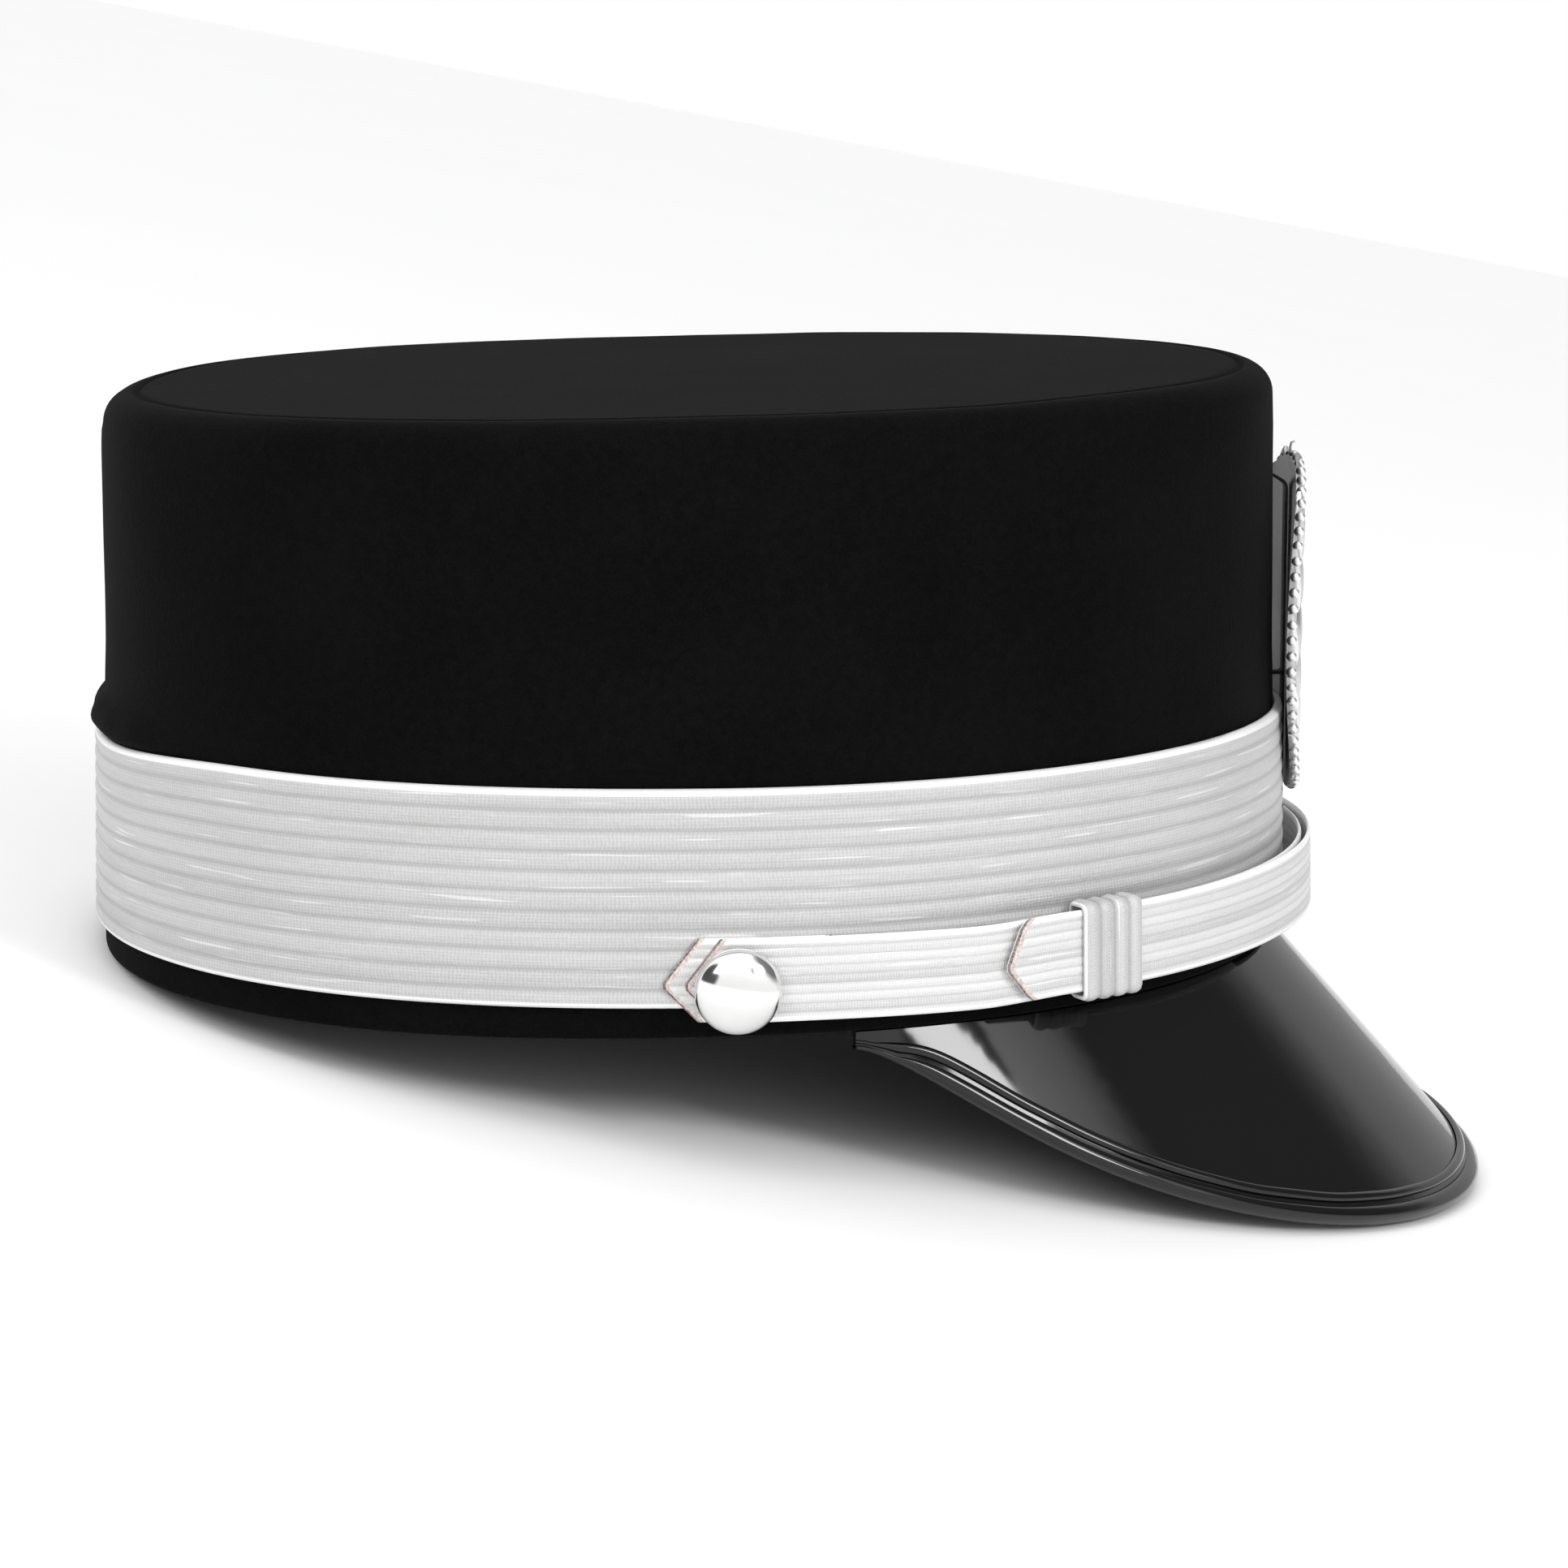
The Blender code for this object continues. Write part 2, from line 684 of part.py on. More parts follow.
def add_leaf(work, base, heading):
    """A pointed leaf from its base on the stem, a low six-sided hip."""
    leaf = bmesh.ops.create_cone(
        work, cap_ends=True, segments=6, radius1=0.5, radius2=0.5 * LEAF_TOP, depth=1)["verts"]
    foot = BADGE_PLATE * LEAF_FOOT
    height = BADGE_PLATE + BADGE_RELIEF - foot
    ahead = LEAF_LENGTH * (0.5 - LEAF_OVERLAP)
    centre = base + Vector((math.cos(heading), math.sin(heading), 0)) * ahead
    size = Matrix.Diagonal((LEAF_LENGTH, LEAF_WIDTH, height, 1))
    turn = Matrix.Rotation(heading, 4, "Z")
    place = Matrix.Translation(centre + Vector((0, 0, foot + height / 2)))
    bmesh.ops.transform(work, matrix=place @ turn @ size, verts=leaf)


def make_holder():
    """The stiff strip behind the badge: fixed to the crown above and again over the band."""
    arm_top = HOLDER_TOP - HOLDER_DROP
    link_low = HOLDER_LINK - HOLDER_THICKNESS
    badge_low = BADGE_CENTRE - BADGE_HEIGHT / 2
    outline = (
        (HOLDER_TOP, GAP),
        (arm_top, HOLDER_FRONT + badge_lean(arm_top)),
        (badge_low, HOLDER_FRONT),
        (HOLDER_LOW, HOLDER_FRONT),
        (HOLDER_LOW, HOLDER_BACK),
        (badge_low, HOLDER_BACK),
        (link_low, HOLDER_BACK + badge_lean(link_low)),
        (link_low, GAP),
        (HOLDER_LINK, GAP),
        (HOLDER_LINK, HOLDER_BACK + badge_lean(HOLDER_LINK)),
        (arm_top - HOLDER_THICKNESS, HOLDER_BACK + badge_lean(arm_top)),
        (HOLDER_TOP - HOLDER_THICKNESS, GAP),
    )
    sections = [[front_point(side * HOLDER_WIDTH / 2, *point) for point in outline]
                for side in (-1, 1)]
    add_part("badge_holder", loft("badge_holder", sections, ends="both"), "holder_black")


def world_points():
    bpy.context.view_layer.update()
    graph = bpy.context.evaluated_depsgraph_get()
    points = []
    for part in CAP.objects:
        if part.type != "MESH":
            continue
        shown = part.evaluated_get(graph)
        points += [shown.matrix_world @ vertex.co for vertex in shown.data.vertices]
    return points


def stand_at_rest():
    """Tips the cap until its lowest points before and behind the middle share the floor."""
    points = world_points()
    tilt = 0.0
    for _ in range(12):
        tipped = [Matrix.Rotation(-tilt, 3, "Y") @ point for point in points]
        front = min((p for p in tipped if p.x > 0), key=lambda p: p.z)
        back = min((p for p in tipped if p.x < 0), key=lambda p: p.z)
        tilt += math.atan2(back.z - front.z, front.x - back.x)
    TIP.rotation_euler = (0, -tilt, 0)
    points = world_points()
    low = [min(point[axis] for point in points) for axis in range(3)]
    high = [max(point[axis] for point in points) for axis in range(3)]
    TIP.location -= Vector(((low[0] + high[0]) / 2, (low[1] + high[1]) / 2, low[2]))
    bpy.context.view_layer.update()


clear_scene()
CAP = make_collection("fatigue_cap")
CUTTERS = make_collection("cutters")
MATERIALS = {name: make_material(name) for name in FINISHES}
TIP = bpy.data.objects.new("cap_at_rest", None)
CAP.objects.link(TIP)

make_crown()
make_band()
make_visor()
make_rim()
make_straps()
make_slide("slide_right", -SLIDE_TURN)
make_slide("slide_left", SLIDE_TURN)
make_button("button_right", -BUTTON_TURN, under_strap)
make_button("button_left", BUTTON_TURN, over_strap)
make_holder()
make_badge()
stand_at_rest()
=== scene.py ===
# %% [markdown]
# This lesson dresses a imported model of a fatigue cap: a drum of black wool with a wide band
# of ribbed silver braid, a chin strap on two domed buttons, a cast badge on a stiff black
# strip, and a patent visor with a rolled rim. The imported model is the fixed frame. It holds
# one plain solid for each piece, at its real size and place, in metres. Nothing in it is
# moved. Each solid is replaced here by a finer piece of the same size.

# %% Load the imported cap
import json
import math

import bmesh
import bpy
import numpy as np
from mathutils import Matrix, Vector, noise


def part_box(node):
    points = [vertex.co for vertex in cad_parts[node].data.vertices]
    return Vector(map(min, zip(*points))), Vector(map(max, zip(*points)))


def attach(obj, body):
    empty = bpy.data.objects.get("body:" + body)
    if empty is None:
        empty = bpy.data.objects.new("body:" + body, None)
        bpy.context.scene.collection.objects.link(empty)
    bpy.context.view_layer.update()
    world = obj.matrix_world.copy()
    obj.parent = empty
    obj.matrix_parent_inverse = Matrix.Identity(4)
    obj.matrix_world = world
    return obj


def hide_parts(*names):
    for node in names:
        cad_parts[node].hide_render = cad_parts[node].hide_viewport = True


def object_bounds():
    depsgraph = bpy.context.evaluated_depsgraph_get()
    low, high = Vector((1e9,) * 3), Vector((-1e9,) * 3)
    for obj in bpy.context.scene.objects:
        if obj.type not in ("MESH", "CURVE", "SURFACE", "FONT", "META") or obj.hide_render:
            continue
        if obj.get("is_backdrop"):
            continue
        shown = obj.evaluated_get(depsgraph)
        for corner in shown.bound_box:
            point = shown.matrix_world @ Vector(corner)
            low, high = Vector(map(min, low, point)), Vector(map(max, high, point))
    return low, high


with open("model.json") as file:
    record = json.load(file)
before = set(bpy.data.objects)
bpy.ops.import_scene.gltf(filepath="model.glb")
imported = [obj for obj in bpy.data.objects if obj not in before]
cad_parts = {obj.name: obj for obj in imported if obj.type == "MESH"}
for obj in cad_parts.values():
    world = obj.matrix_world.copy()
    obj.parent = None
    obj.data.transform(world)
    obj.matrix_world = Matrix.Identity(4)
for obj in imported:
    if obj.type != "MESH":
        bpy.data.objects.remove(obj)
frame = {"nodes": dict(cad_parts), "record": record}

frame_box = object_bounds()
print("nodes in the frame:", ", ".join(sorted(frame["nodes"])))

# %% [markdown]
# The cap stands tipped on the floor, on the back of its hem and the front of its visor. It
# is far easier to think about it level, with its front along +X, the wearer's left along +Y
# and the bottom of its hem at height zero. The record's mount "head_opening" sits at the
# middle of the hem and points down out of the cap, so it gives both the place and the tilt
# of that level frame. Every shape below is made level and then carried over by one matrix.

# %% The cap's own level frame
mouth = next(m for m in frame["record"]["mounts"] if m["name"] == "head_opening")
own_up = -Vector(mouth["axis"]).normalized()
own_left = Vector((0, 1, 0))
own_front = own_left.cross(own_up).normalized()
own_axes = Matrix((own_front, own_left, own_up)).transposed().to_4x4()
TIP = Matrix.Translation(mouth["pos_m"]) @ own_axes
print("the front is tipped up by", round(math.degrees(math.asin(own_front.z)), 2), "degrees")

# %% [markdown]
# A product photographer used a long lens from the cap's right side, a little above it. The
# camera was worked out from the outlines of the crown, the band and the hem, so its place is
# a real one in the cap's own frame. A sensor 36 mm wide is Blender's usual one. Because the
# cap stands tipped and the camera is tipped with it, the cap looks level in the picture.

# %% Camera
CAMERA_PLACE = Vector((-0.0174, -0.6667, 0.1569))
CAMERA_YAW = 0.0501
CAMERA_PITCH = 0.1974
LENS_MM = 88.47
SENSOR_MM = 36.0

lens = bpy.data.cameras.new("camera")
lens.lens = LENS_MM
lens.sensor_width = SENSOR_MM
lens.clip_start = 0.01
camera = bpy.data.objects.new("camera", lens)
bpy.context.scene.collection.objects.link(camera)
bpy.context.scene.camera = camera
turn = Matrix.Rotation(-CAMERA_YAW, 4, "Z")
pitch = Matrix.Rotation(math.pi / 2 - CAMERA_PITCH, 4, "X")
camera.matrix_world = TIP @ Matrix.Translation(CAMERA_PLACE) @ turn @ pitch
print("the camera is", round(camera.matrix_world.translation.z * 1000), "mm above the floor")

# %% [markdown]
# Every finish below is made of shader nodes. Wiring them one by one hides what they do, so a
# small class wraps a socket and lets Python's own operators add the Math nodes: 1 - mask is
# one node and reads as what it is. A second class stands for the node board of a material or
# of the world. Its one method, add, makes any other node: the node's settings are set first,
# and then its inputs, each with a plain value or with the output of another node.

# %% Shader maths
LAY = "lay"


def operator(operation, reflected=False):
    """A method for one of Python's operators. It adds one Math node."""
    def method(self, other):
        values = (other, self) if reflected else (self, other)
        return self.board.maths(operation, *values)
    return method


class Amount:
    """A shader value that Python's operators work on."""

    __add__, __radd__ = operator("ADD"), operator("ADD", reflected=True)
    __sub__, __rsub__ = operator("SUBTRACT"), operator("SUBTRACT", reflected=True)
    __mul__, __rmul__ = operator("MULTIPLY"), operator("MULTIPLY", reflected=True)

    def __init__(self, board, socket):
        self.board = board
        self.socket = socket


class Board:
    """The node board of one material or of the world."""

    def __init__(self, tree):
        self.tree = tree

    def add(self, kind, settings, inputs, out=0):
        """Adds a node: its settings first, then its inputs. Returns one of its outputs."""
        node = self.tree.nodes.new("ShaderNode" + kind)
        for name, setting in settings.items():
            setattr(node, name, setting)
        for name, value in inputs.items():
            self.feed(node.inputs[name], value)
        return Amount(self, node.outputs[out])

    def feed(self, socket, value):
        if isinstance(value, Amount):
            self.tree.links.new(value.socket, socket)
        else:
            socket.default_value = value

    def maths(self, operation, *values):
        return self.add("Math", {"operation": operation}, dict(enumerate(values)))

    def mix(self, share, first, second):
        """A colour between two colours."""
        return self.add("Mix", {"data_type": "RGBA"}, {0: share, 6: first, 7: second}, out=2)

    def between(self, value, low, high):
        """0 below low, 1 above high, and smooth between them."""
        settings = {"interpolation_type": "SMOOTHSTEP"}
        return self.add("MapRange", settings, {"Value": value, "From Min": low, "From Max": high})

    def split(self, vector):
        node = self.tree.nodes.new("ShaderNodeSeparateXYZ")
        self.feed(node.inputs[0], vector)
        return [Amount(self, socket) for socket in node.outputs]

    def noise(self, where, sizes, detail):
        """Soft noise, with a size in metres along each axis of a place."""
        scale = tuple(1 / size for size in sizes)
        place = self.add("VectorMath", {"operation": "MULTIPLY"}, {0: where, 1: scale})
        return self.add("TexNoise", {}, {"Vector": place, "Scale": 1.0, "Detail": detail})

    def cells(self, size, detail=2.0, stretch=(1, 1, 1)):
        """Noise through the piece, longer where stretch is over 1."""
        where = self.add("TexCoord", {}, {}, out="Object")
        return self.noise(where, [size * times for times in stretch], detail)

    def lay_cells(self, along, across, detail=2.0):
        """Noise that follows the cloth, with one size along it and another across it."""
        return self.noise(self.add("UVMap", {"uv_map": LAY}, {}), (along, across, 1), detail)

    def lay(self):
        """Where a point lies on its cloth: metres along it and metres across it."""
        return self.split(self.add("UVMap", {"uv_map": LAY}, {}))[:2]


print("the shader helpers are ready")

# %% [markdown]
# A finish starts from the Principled shader. What is the same all over the surface is set on
# the shader's own sockets. What varies over it is fed in afterwards: colour, roughness,
# metallic, and a bump that stands for threads, nap or casting skin too fine for the mesh.

# %% A new finish
class Finish(Board):
    """A material and its board. Constants name the shader's sockets, with _ for a space."""

    def __init__(self, name, **constants):
        self.material = bpy.data.materials.new(name)
        self.material.use_nodes = True
        super().__init__(self.material.node_tree)
        self.shader = self.tree.nodes["Principled BSDF"]
        for socket, value in constants.items():
            self.shader.inputs[socket.replace("_", " ")].default_value = value

    def paint(self, colour, roughness, height=None, depth=0.0, metallic=None):
        """Feeds colour, roughness, metallic and a bump of a depth in metres."""
        fed = {"Base Color": colour, "Roughness": roughness}
        if height is not None:
            bump = {"Strength": 1.0, "Distance": depth, "Height": height}
            fed["Normal"] = self.add("Bump", {}, bump)
        if metallic is not None:
            fed["Metallic"] = metallic
        for socket, value in fed.items():
            self.feed(self.shader.inputs[socket], value)
        return self.material


def grey(value, warm=0.0):
    """An opaque grey, a little red and yellow where warm is over 0."""
    return (value * (1 + warm), value, value * (1 - warm), 1.0)


print("a finish is painted with a colour, a roughness and a bump")

# %% [markdown]
# The studio is plain: a white floor, and soft light from almost everywhere, more of it from
# above. Glossy patent and a polished button show what stands round them, so the brighter and
# darker parts of the room matter. One softbox to the front right, with a dark margin round
# it, mirrors as a crisp corner in the visor's near end. The wall beside it glows a little
# and the wall beyond it is dim, which keeps the middle of the visor black. A dark gap far
# to the left shows in the button as a wedge. Each of these is a soft round patch of the
# world: its direction in the cap's own frame, the degrees within which it is full, and the
# degrees beyond which it is gone. The camera itself sees one white tone beyond the floor.

# %% Studio
FLOOR_SIZE = 16.0
BACKDROP_TONE = 1.0
ROOM_TONE = 0.98
CEILING_TONE = 0.75
FAR_WALL_TONE = 0.55
FAR_WALL = ((0.35, 0.93, 0.10), 20, 75)
DARK_PATCHES = ((0.84, ((0.84, 0.10, 0.54), 18, 38)),
                (0.93, ((-0.82, -0.38, 0.34), 23, 33)))
GLOW = 1.1
GLOW_PATCH = ((0.71, -0.43, 0.56), 5, 14)
KEY_WAY = (0.590, -0.642, 0.498)
KEY_MARGIN = 0.95
KEY_MARGIN_PATCH = (KEY_WAY, 8.8, 9.6)

world = bpy.data.worlds.new("studio")
world.use_nodes = True
bpy.context.scene.world = world
sky = Board(world.node_tree)
direction = sky.add("TexCoord", {}, {}, out="Generated")


def towards(way):
    """A direction of the cap's own frame in the world."""
    return (TIP.to_3x3() @ Vector(way)).normalized()


def patch(way, inner, outer):
    ways = {0: direction, 1: towards(way)}
    near = sky.add("VectorMath", {"operation": "DOT_PRODUCT"}, ways, out="Value")
    return sky.between(near, math.cos(math.radians(outer)), math.cos(math.radians(inner)))


overhead = sky.maths("MAXIMUM", sky.split(direction)[2], 0.0)
room = ROOM_TONE + CEILING_TONE * overhead * overhead
room = room - (ROOM_TONE - FAR_WALL_TONE) * patch(*FAR_WALL)
for darkness, place in DARK_PATCHES:
    room = room * (1 - darkness * patch(*place))
room = room + GLOW * patch(*GLOW_PATCH)
room = room * (1 - KEY_MARGIN * patch(*KEY_MARGIN_PATCH))
seen_by_camera = sky.add("LightPath", {}, {}, out="Is Camera Ray")
backdrop = room + seen_by_camera * (BACKDROP_TONE - room)
sky.feed(world.node_tree.nodes["Background"].inputs["Color"], backdrop)

# %% Floor and lamps
paper = Finish("floor_paper")
bpy.ops.mesh.primitive_plane_add(size=FLOOR_SIZE)
floor = bpy.context.object
floor.name = "floor"
floor.data.materials.append(paper.paint(paper.mix(paper.cells(0.4), grey(0.91), grey(0.93)), 0.9))
floor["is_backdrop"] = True


def softbox(name, way, distance, width, height, radiance):
    """An area light that faces the cap from a direction in the cap's own frame."""
    light = bpy.data.lights.new(name, "AREA")
    light.shape = "RECTANGLE"
    light.size = width
    light.size_y = height
    light.energy = radiance * math.pi * width * height
    lamp = bpy.data.objects.new(name, light)
    bpy.context.scene.collection.objects.link(lamp)
    lamp.location = TIP.translation + towards(way) * distance
    lamp.rotation_euler = towards(way).to_track_quat("Z", "Y").to_euler()


softbox("key", KEY_WAY, distance=1.5, width=0.23, height=0.44, radiance=16.0)
softbox("left_fill", (-0.50, -0.62, 0.60), distance=1.8, width=0.60, height=0.60, radiance=5.0)

# %% [markdown]
# The crown's outline from above is a superellipse, the curve between an ellipse and a
# rounded rectangle. One function gives any point on its wall from three numbers: the turn
# round the cap from its front, the height, and the distance out. Everything that lies on the
# cap uses it: the band, the strap, the slides and the badge. It works on whole arrays, which
# numpy handles at once, so a fine grid of points costs next to nothing.

# %% The crown's wall
CROWN_LENGTH = 0.200
CROWN_WIDTH = 0.164
CROWN_HEIGHT = 0.0962
CROWN_WALL = 0.0022
FRONT_FULLNESS = 1.95
BACK_FULLNESS = 2.23
TOP_FULLER = 0.14
HEM_FLARE = 0.0028
BAND_LOW = 0.0050
BAND_HEIGHT = 0.0346
BAND_LINE = BAND_LOW + BAND_HEIGHT


def smooth(share):
    share = np.clip(share, 0.0, 1.0)
    return share * share * (3 - 2 * share)


def wall(turn, height, out=0.0):
    """Points out from the crown's wall, for arrays of turns, heights and distances out."""
    turn, height, out = np.broadcast_arrays(turn, height, out)
    c, s = np.cos(turn), np.sin(turn)
    above = (height - BAND_LINE) / (CROWN_HEIGHT - BAND_LINE)
    power = np.where(c > 0, FRONT_FULLNESS, BACK_FULLNESS) + TOP_FULLER * smooth(above)
    x = np.sign(c) * np.abs(c) ** (2 / power)
    y = np.sign(s) * np.abs(s) ** (2 / power)
    away_x = np.sign(x) * np.abs(x) ** (power - 1) / (CROWN_LENGTH / 2)
    away_y = np.sign(y) * np.abs(y) ** (power - 1) / (CROWN_WIDTH / 2)
    size = np.hypot(away_x, away_y)
    off = HEM_FLARE * (1 - height / CROWN_HEIGHT) + out
    return np.stack([
        x * CROWN_LENGTH / 2 + off * away_x / size,
        y * CROWN_WIDTH / 2 + off * away_y / size,
        height + 0 * x], axis=-1)


def unit(vectors):
    return vectors / np.linalg.norm(vectors, axis=-1, keepdims=True)


def wall_away(turn):
    """The level way straight out of the wall."""
    return unit(wall(turn, 0.0, 1.0) - wall(turn, 0.0))


def ways_along(points):
    """Metres from the first of a row of points to each of them."""
    steps = np.linalg.norm(np.diff(points, axis=0), axis=1)
    return np.concatenate([[0.0], np.cumsum(steps)])


FAR_TURN = 2.2 * math.pi
LENGTH_STEPS = 8001
LENGTH_TURNS = np.linspace(-FAR_TURN, FAR_TURN, LENGTH_STEPS)
LENGTHS = ways_along(wall(LENGTH_TURNS, 0.0))
LENGTHS -= np.interp(0.0, LENGTH_TURNS, LENGTHS)


def length_at(turn):
    """Metres round the wall from the middle of the front."""
    return np.interp(turn, LENGTH_TURNS, LENGTHS)


def turn_at(length):
    return np.interp(length, LENGTHS, LENGTH_TURNS)


def sweep(first, last, count):
    """Angles in radians, from one in degrees to another."""
    return np.radians(np.linspace(first, last, count))


def mm(metres):
    return round(float(metres) * 1000, 1)


print("the side cloth laid flat:", mm(2 * length_at(math.pi)), "x", mm(CROWN_HEIGHT), "mm")

# %% [markdown]
# Cloth, braid and leather all start as a grid of points: a row for each step across the
# material and a point in the row for each step along it. One helper joins such a grid into
# faces, closes it where the real piece is closed, and stores on it how far along and across
# the material each point lies. The finishes use that to lay their threads the right way.

# %% From a grid of points to a piece
def corners_of(cells):
    """The four corners of each cell of a grid, in order round the cell."""
    four = (cells[:-1, :-1], cells[:-1, 1:], cells[1:, 1:], cells[1:, :-1])
    return np.stack(four, axis=2).reshape(-1, 4, *cells.shape[2:])


def piece_from(name, points, faces, spots):
    """A piece from points in the cap's own frame. spots hold where each face corner lies on
    the material."""
    mesh = bpy.data.meshes.new(name)
    mesh.from_pydata(points, [], faces)
    mesh.uv_layers.new(name=LAY).data.foreach_set("uv", np.asarray(spots, dtype=np.float32).ravel())
    mesh.transform(TIP)
    mesh.validate()
    mesh.shade_smooth()
    piece = bpy.data.objects.new(name, mesh)
    bpy.context.scene.collection.objects.link(piece)
    return piece


def skin(name, grid, lay, closed_along=False, closed_across=False, poles=None):
    """A piece from grid[across, along] of points.

    lay holds metres along and across for each point. poles are two points that close the
    first and the last row."""
    across, along = grid.shape[:2]
    index = np.arange(across * along).reshape(across, along)
    if closed_along:
        index = np.concatenate([index, index[:, :1]], axis=1)
        lay = np.concatenate([lay, 2 * lay[:, -1:] - lay[:, -2:-1]], axis=1)
    if closed_across:
        index = np.concatenate([index, index[:1]], axis=0)
        lay = np.concatenate([lay, 2 * lay[-1:] - lay[-2:-1]], axis=0)
    faces = corners_of(index).tolist()
    spots = corners_of(lay).reshape(-1, 2).tolist()
    points = grid.reshape(-1, 3).tolist()
    if poles is not None:
        for row, pole, order in ((0, poles[0], -1), (-1, poles[1], 1)):
            points.append(list(pole))
            for i in range(index.shape[1] - 1):
                faces.append([int(index[row, i]), int(index[row, i + 1]), len(points) - 1][::order])
                middle = (lay[row, i] + lay[row, i + 1]) / 2
                spots += [list(lay[row, i]), list(lay[row, i + 1]), list(middle)][::order]
    return piece_from(name, points, faces, spots)

# %% Finish a piece's mesh and dress it
def edit_mesh(piece, change=lambda work: None):
    """Runs a change on a piece's mesh in its editing form, and turns all faces outwards."""
    work = bmesh.new()
    work.from_mesh(piece.data)
    work.verts.ensure_lookup_table()
    change(work)
    bmesh.ops.recalc_face_normals(work, faces=work.faces)
    work.to_mesh(piece.data)
    work.free()


def dress(piece, node, slot, *materials, sharp=None):
    """Gives a piece its finishes and puts it in the place of a node of the frame."""
    for material in materials:
        piece.data.materials.append(material)
    edit_mesh(piece)
    if sharp is not None:
        piece.data.set_sharp_from_angle(angle=math.radians(sharp))
    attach(piece, "root")
    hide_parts(node)
    low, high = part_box(node)
    corners = np.array([v.co for v in piece.data.vertices])
    stray = max(np.abs(corners.min(0) - low).max(), np.abs(corners.max(0) - high).max())
    triangles = sum(len(p.vertices) - 2 for p in piece.data.polygons)
    print(f"{piece.name}: {triangles} triangles, box within {stray * 1000:.1f} mm of {node}")


def close_ends(piece, grid, sheet=False):
    """Closes both ends of a skin: a tube's with one face, and those of a sheet, whose last
    rows are its back, with a strip of faces."""
    across, along = grid.shape[:2]
    rings = [range(across)]
    if sheet:
        rings = [(i, i + 1, across - 2 - i, across - 1 - i) for i in range(across // 2 - 1)]

    def change(work):
        for column in (0, along - 1):
            for ring in rings:
                work.faces.new([work.verts[row * along + column] for row in ring])
    edit_mesh(piece, change)


def pairs(along, across):
    """The lay of a grid, from metres along each row and metres across from row to row."""
    return np.stack(np.broadcast_arrays(along, across), axis=-1)


def lay_of(grid, along):
    """A lay with the metres from row to row measured on the grid."""
    steps = np.linalg.norm(np.diff(grid, axis=0), axis=-1).mean(axis=1)
    return pairs(along, np.concatenate([[0.0], np.cumsum(steps)])[:, None])


def ripples(points, wavelength, depth, seed):
    """Smooth random heights for an array of points, up to a depth in metres."""
    shift = Vector((seed, 0.37 * seed, 0.71 * seed))
    flat = [noise.noise(Vector(p) / wavelength + shift) for p in points.reshape(-1, 3).tolist()]
    return depth * np.array(flat).reshape(points.shape[:-1])


print("a grid becomes a piece with skin, and dress puts it in place")

# %% [markdown]
# The crown is one drum of felted wool: a turned hem that shows below the band, the side
# wall, a roll of spare cloth that stands over the band at the back, a rounded top edge with
# its seam, and a flat top. It is lofted as rows that start at the middle of the lining side
# of the top, go down inside the wall, round the hem and up again outside, and end at the
# middle of the top. Cloth is never quite flat, so soft ripples of a few tenths of a
# millimetre are added at the end.

# %% Rows of the crown
STATIONS = 336
HEM_DROP = 0.0007
HEM_DROP_START = math.radians(80)
HEM_DROP_END = math.radians(120)
TOP_RISE = 0.0040
EDGE_RADIUS = 0.0048
SEAM_WIDTH = 0.0016
SEAM_DEPTH = 0.0007
ROLL_HEIGHT = 0.0056
ROLL_DEPTH = 0.0021
ROLL_START = math.radians(133)
ROLL_END = math.radians(166)
BAND_DIP = 0.0020
GAP = 0.0003

turns = np.linspace(0, 2 * math.pi, STATIONS, endpoint=False)


def from_front(turn):
    return np.abs((turn + math.pi) % (2 * math.pi) - math.pi)


def share_between(value, start, end):
    """0 at a start and 1 at an end, which may also lie below the start."""
    return smooth((value - start) / (end - start))


def hem_height(turn):
    return -HEM_DROP * share_between(from_front(turn), HEM_DROP_START, HEM_DROP_END)


def roll_share(turn):
    return share_between(from_front(turn), ROLL_START, ROLL_END)


def band_top(turn):
    return BAND_LINE - BAND_DIP * roll_share(turn)


def on_top(turn, inset, drop):
    """Points inside the top's outline by an inset and below the top by a drop."""
    points = wall(turn, CROWN_HEIGHT, -inset)
    points[..., 2] = CROWN_HEIGHT + TOP_RISE * points[..., 0] / CROWN_LENGTH - drop
    return points


def rings_to_middle(ring, shares):
    """Copies of a ring that close in on its middle."""
    middle = ring.mean(axis=0)
    return [middle + (ring - middle) * share for share in shares]

# %% Build the crown
ROLL_ROWS = 10
WALL_ROWS = 26
HEM_STEPS = 9
EDGE_STEPS = 11
TOP_SHARES = (0.985, 0.96, 0.92, 0.86, 0.78, 0.68, 0.56, 0.42, 0.27, 0.12)
BEHIND_BAND = (0.0060, 0.0135, 0.0210, 0.0285)
SEAM_SHARES = (0.25, 0.5, 0.75, 1.0)
LINING_INSET = EDGE_RADIUS + CROWN_WALL + 0.0006
INSIDE_SHARES = np.linspace(0.95, 0.04, WALL_ROWS // 2)
OUTSIDE_SHARES = np.linspace(0.04, 0.93, WALL_ROWS)
ABOVE_ROLL = 0.0008
ROLL_CREST = 0.62
ROLL_FULLNESS = 0.8
# Ripples: a wavelength and a depth in metres, or as a share, and a seed.
ROLL_UNEVEN = (0.011, 0.5, 4.0)
ROLL_SAG = (0.016, 0.0010, 9.0)
CLOTH_RIPPLES = ((0.055, 0.0005, 1.0), (0.018, 0.00012, 2.0))
SOFT_ABOVE_BAND = (0.004, 0.014)
SOFT_BELOW_TOP = (0.012, 0.004)
SOFT_TOP = (0.010, 0.003)


def hem_rows():
    """The hem turned under: half a round from the inside of the wall to its outside."""
    half = CROWN_WALL / 2
    return [wall(turns, hem_height(turns) + half * (1 - math.cos(a)), half * (math.sin(a) - 1))
            for a in sweep(-90, 90, HEM_STEPS)]


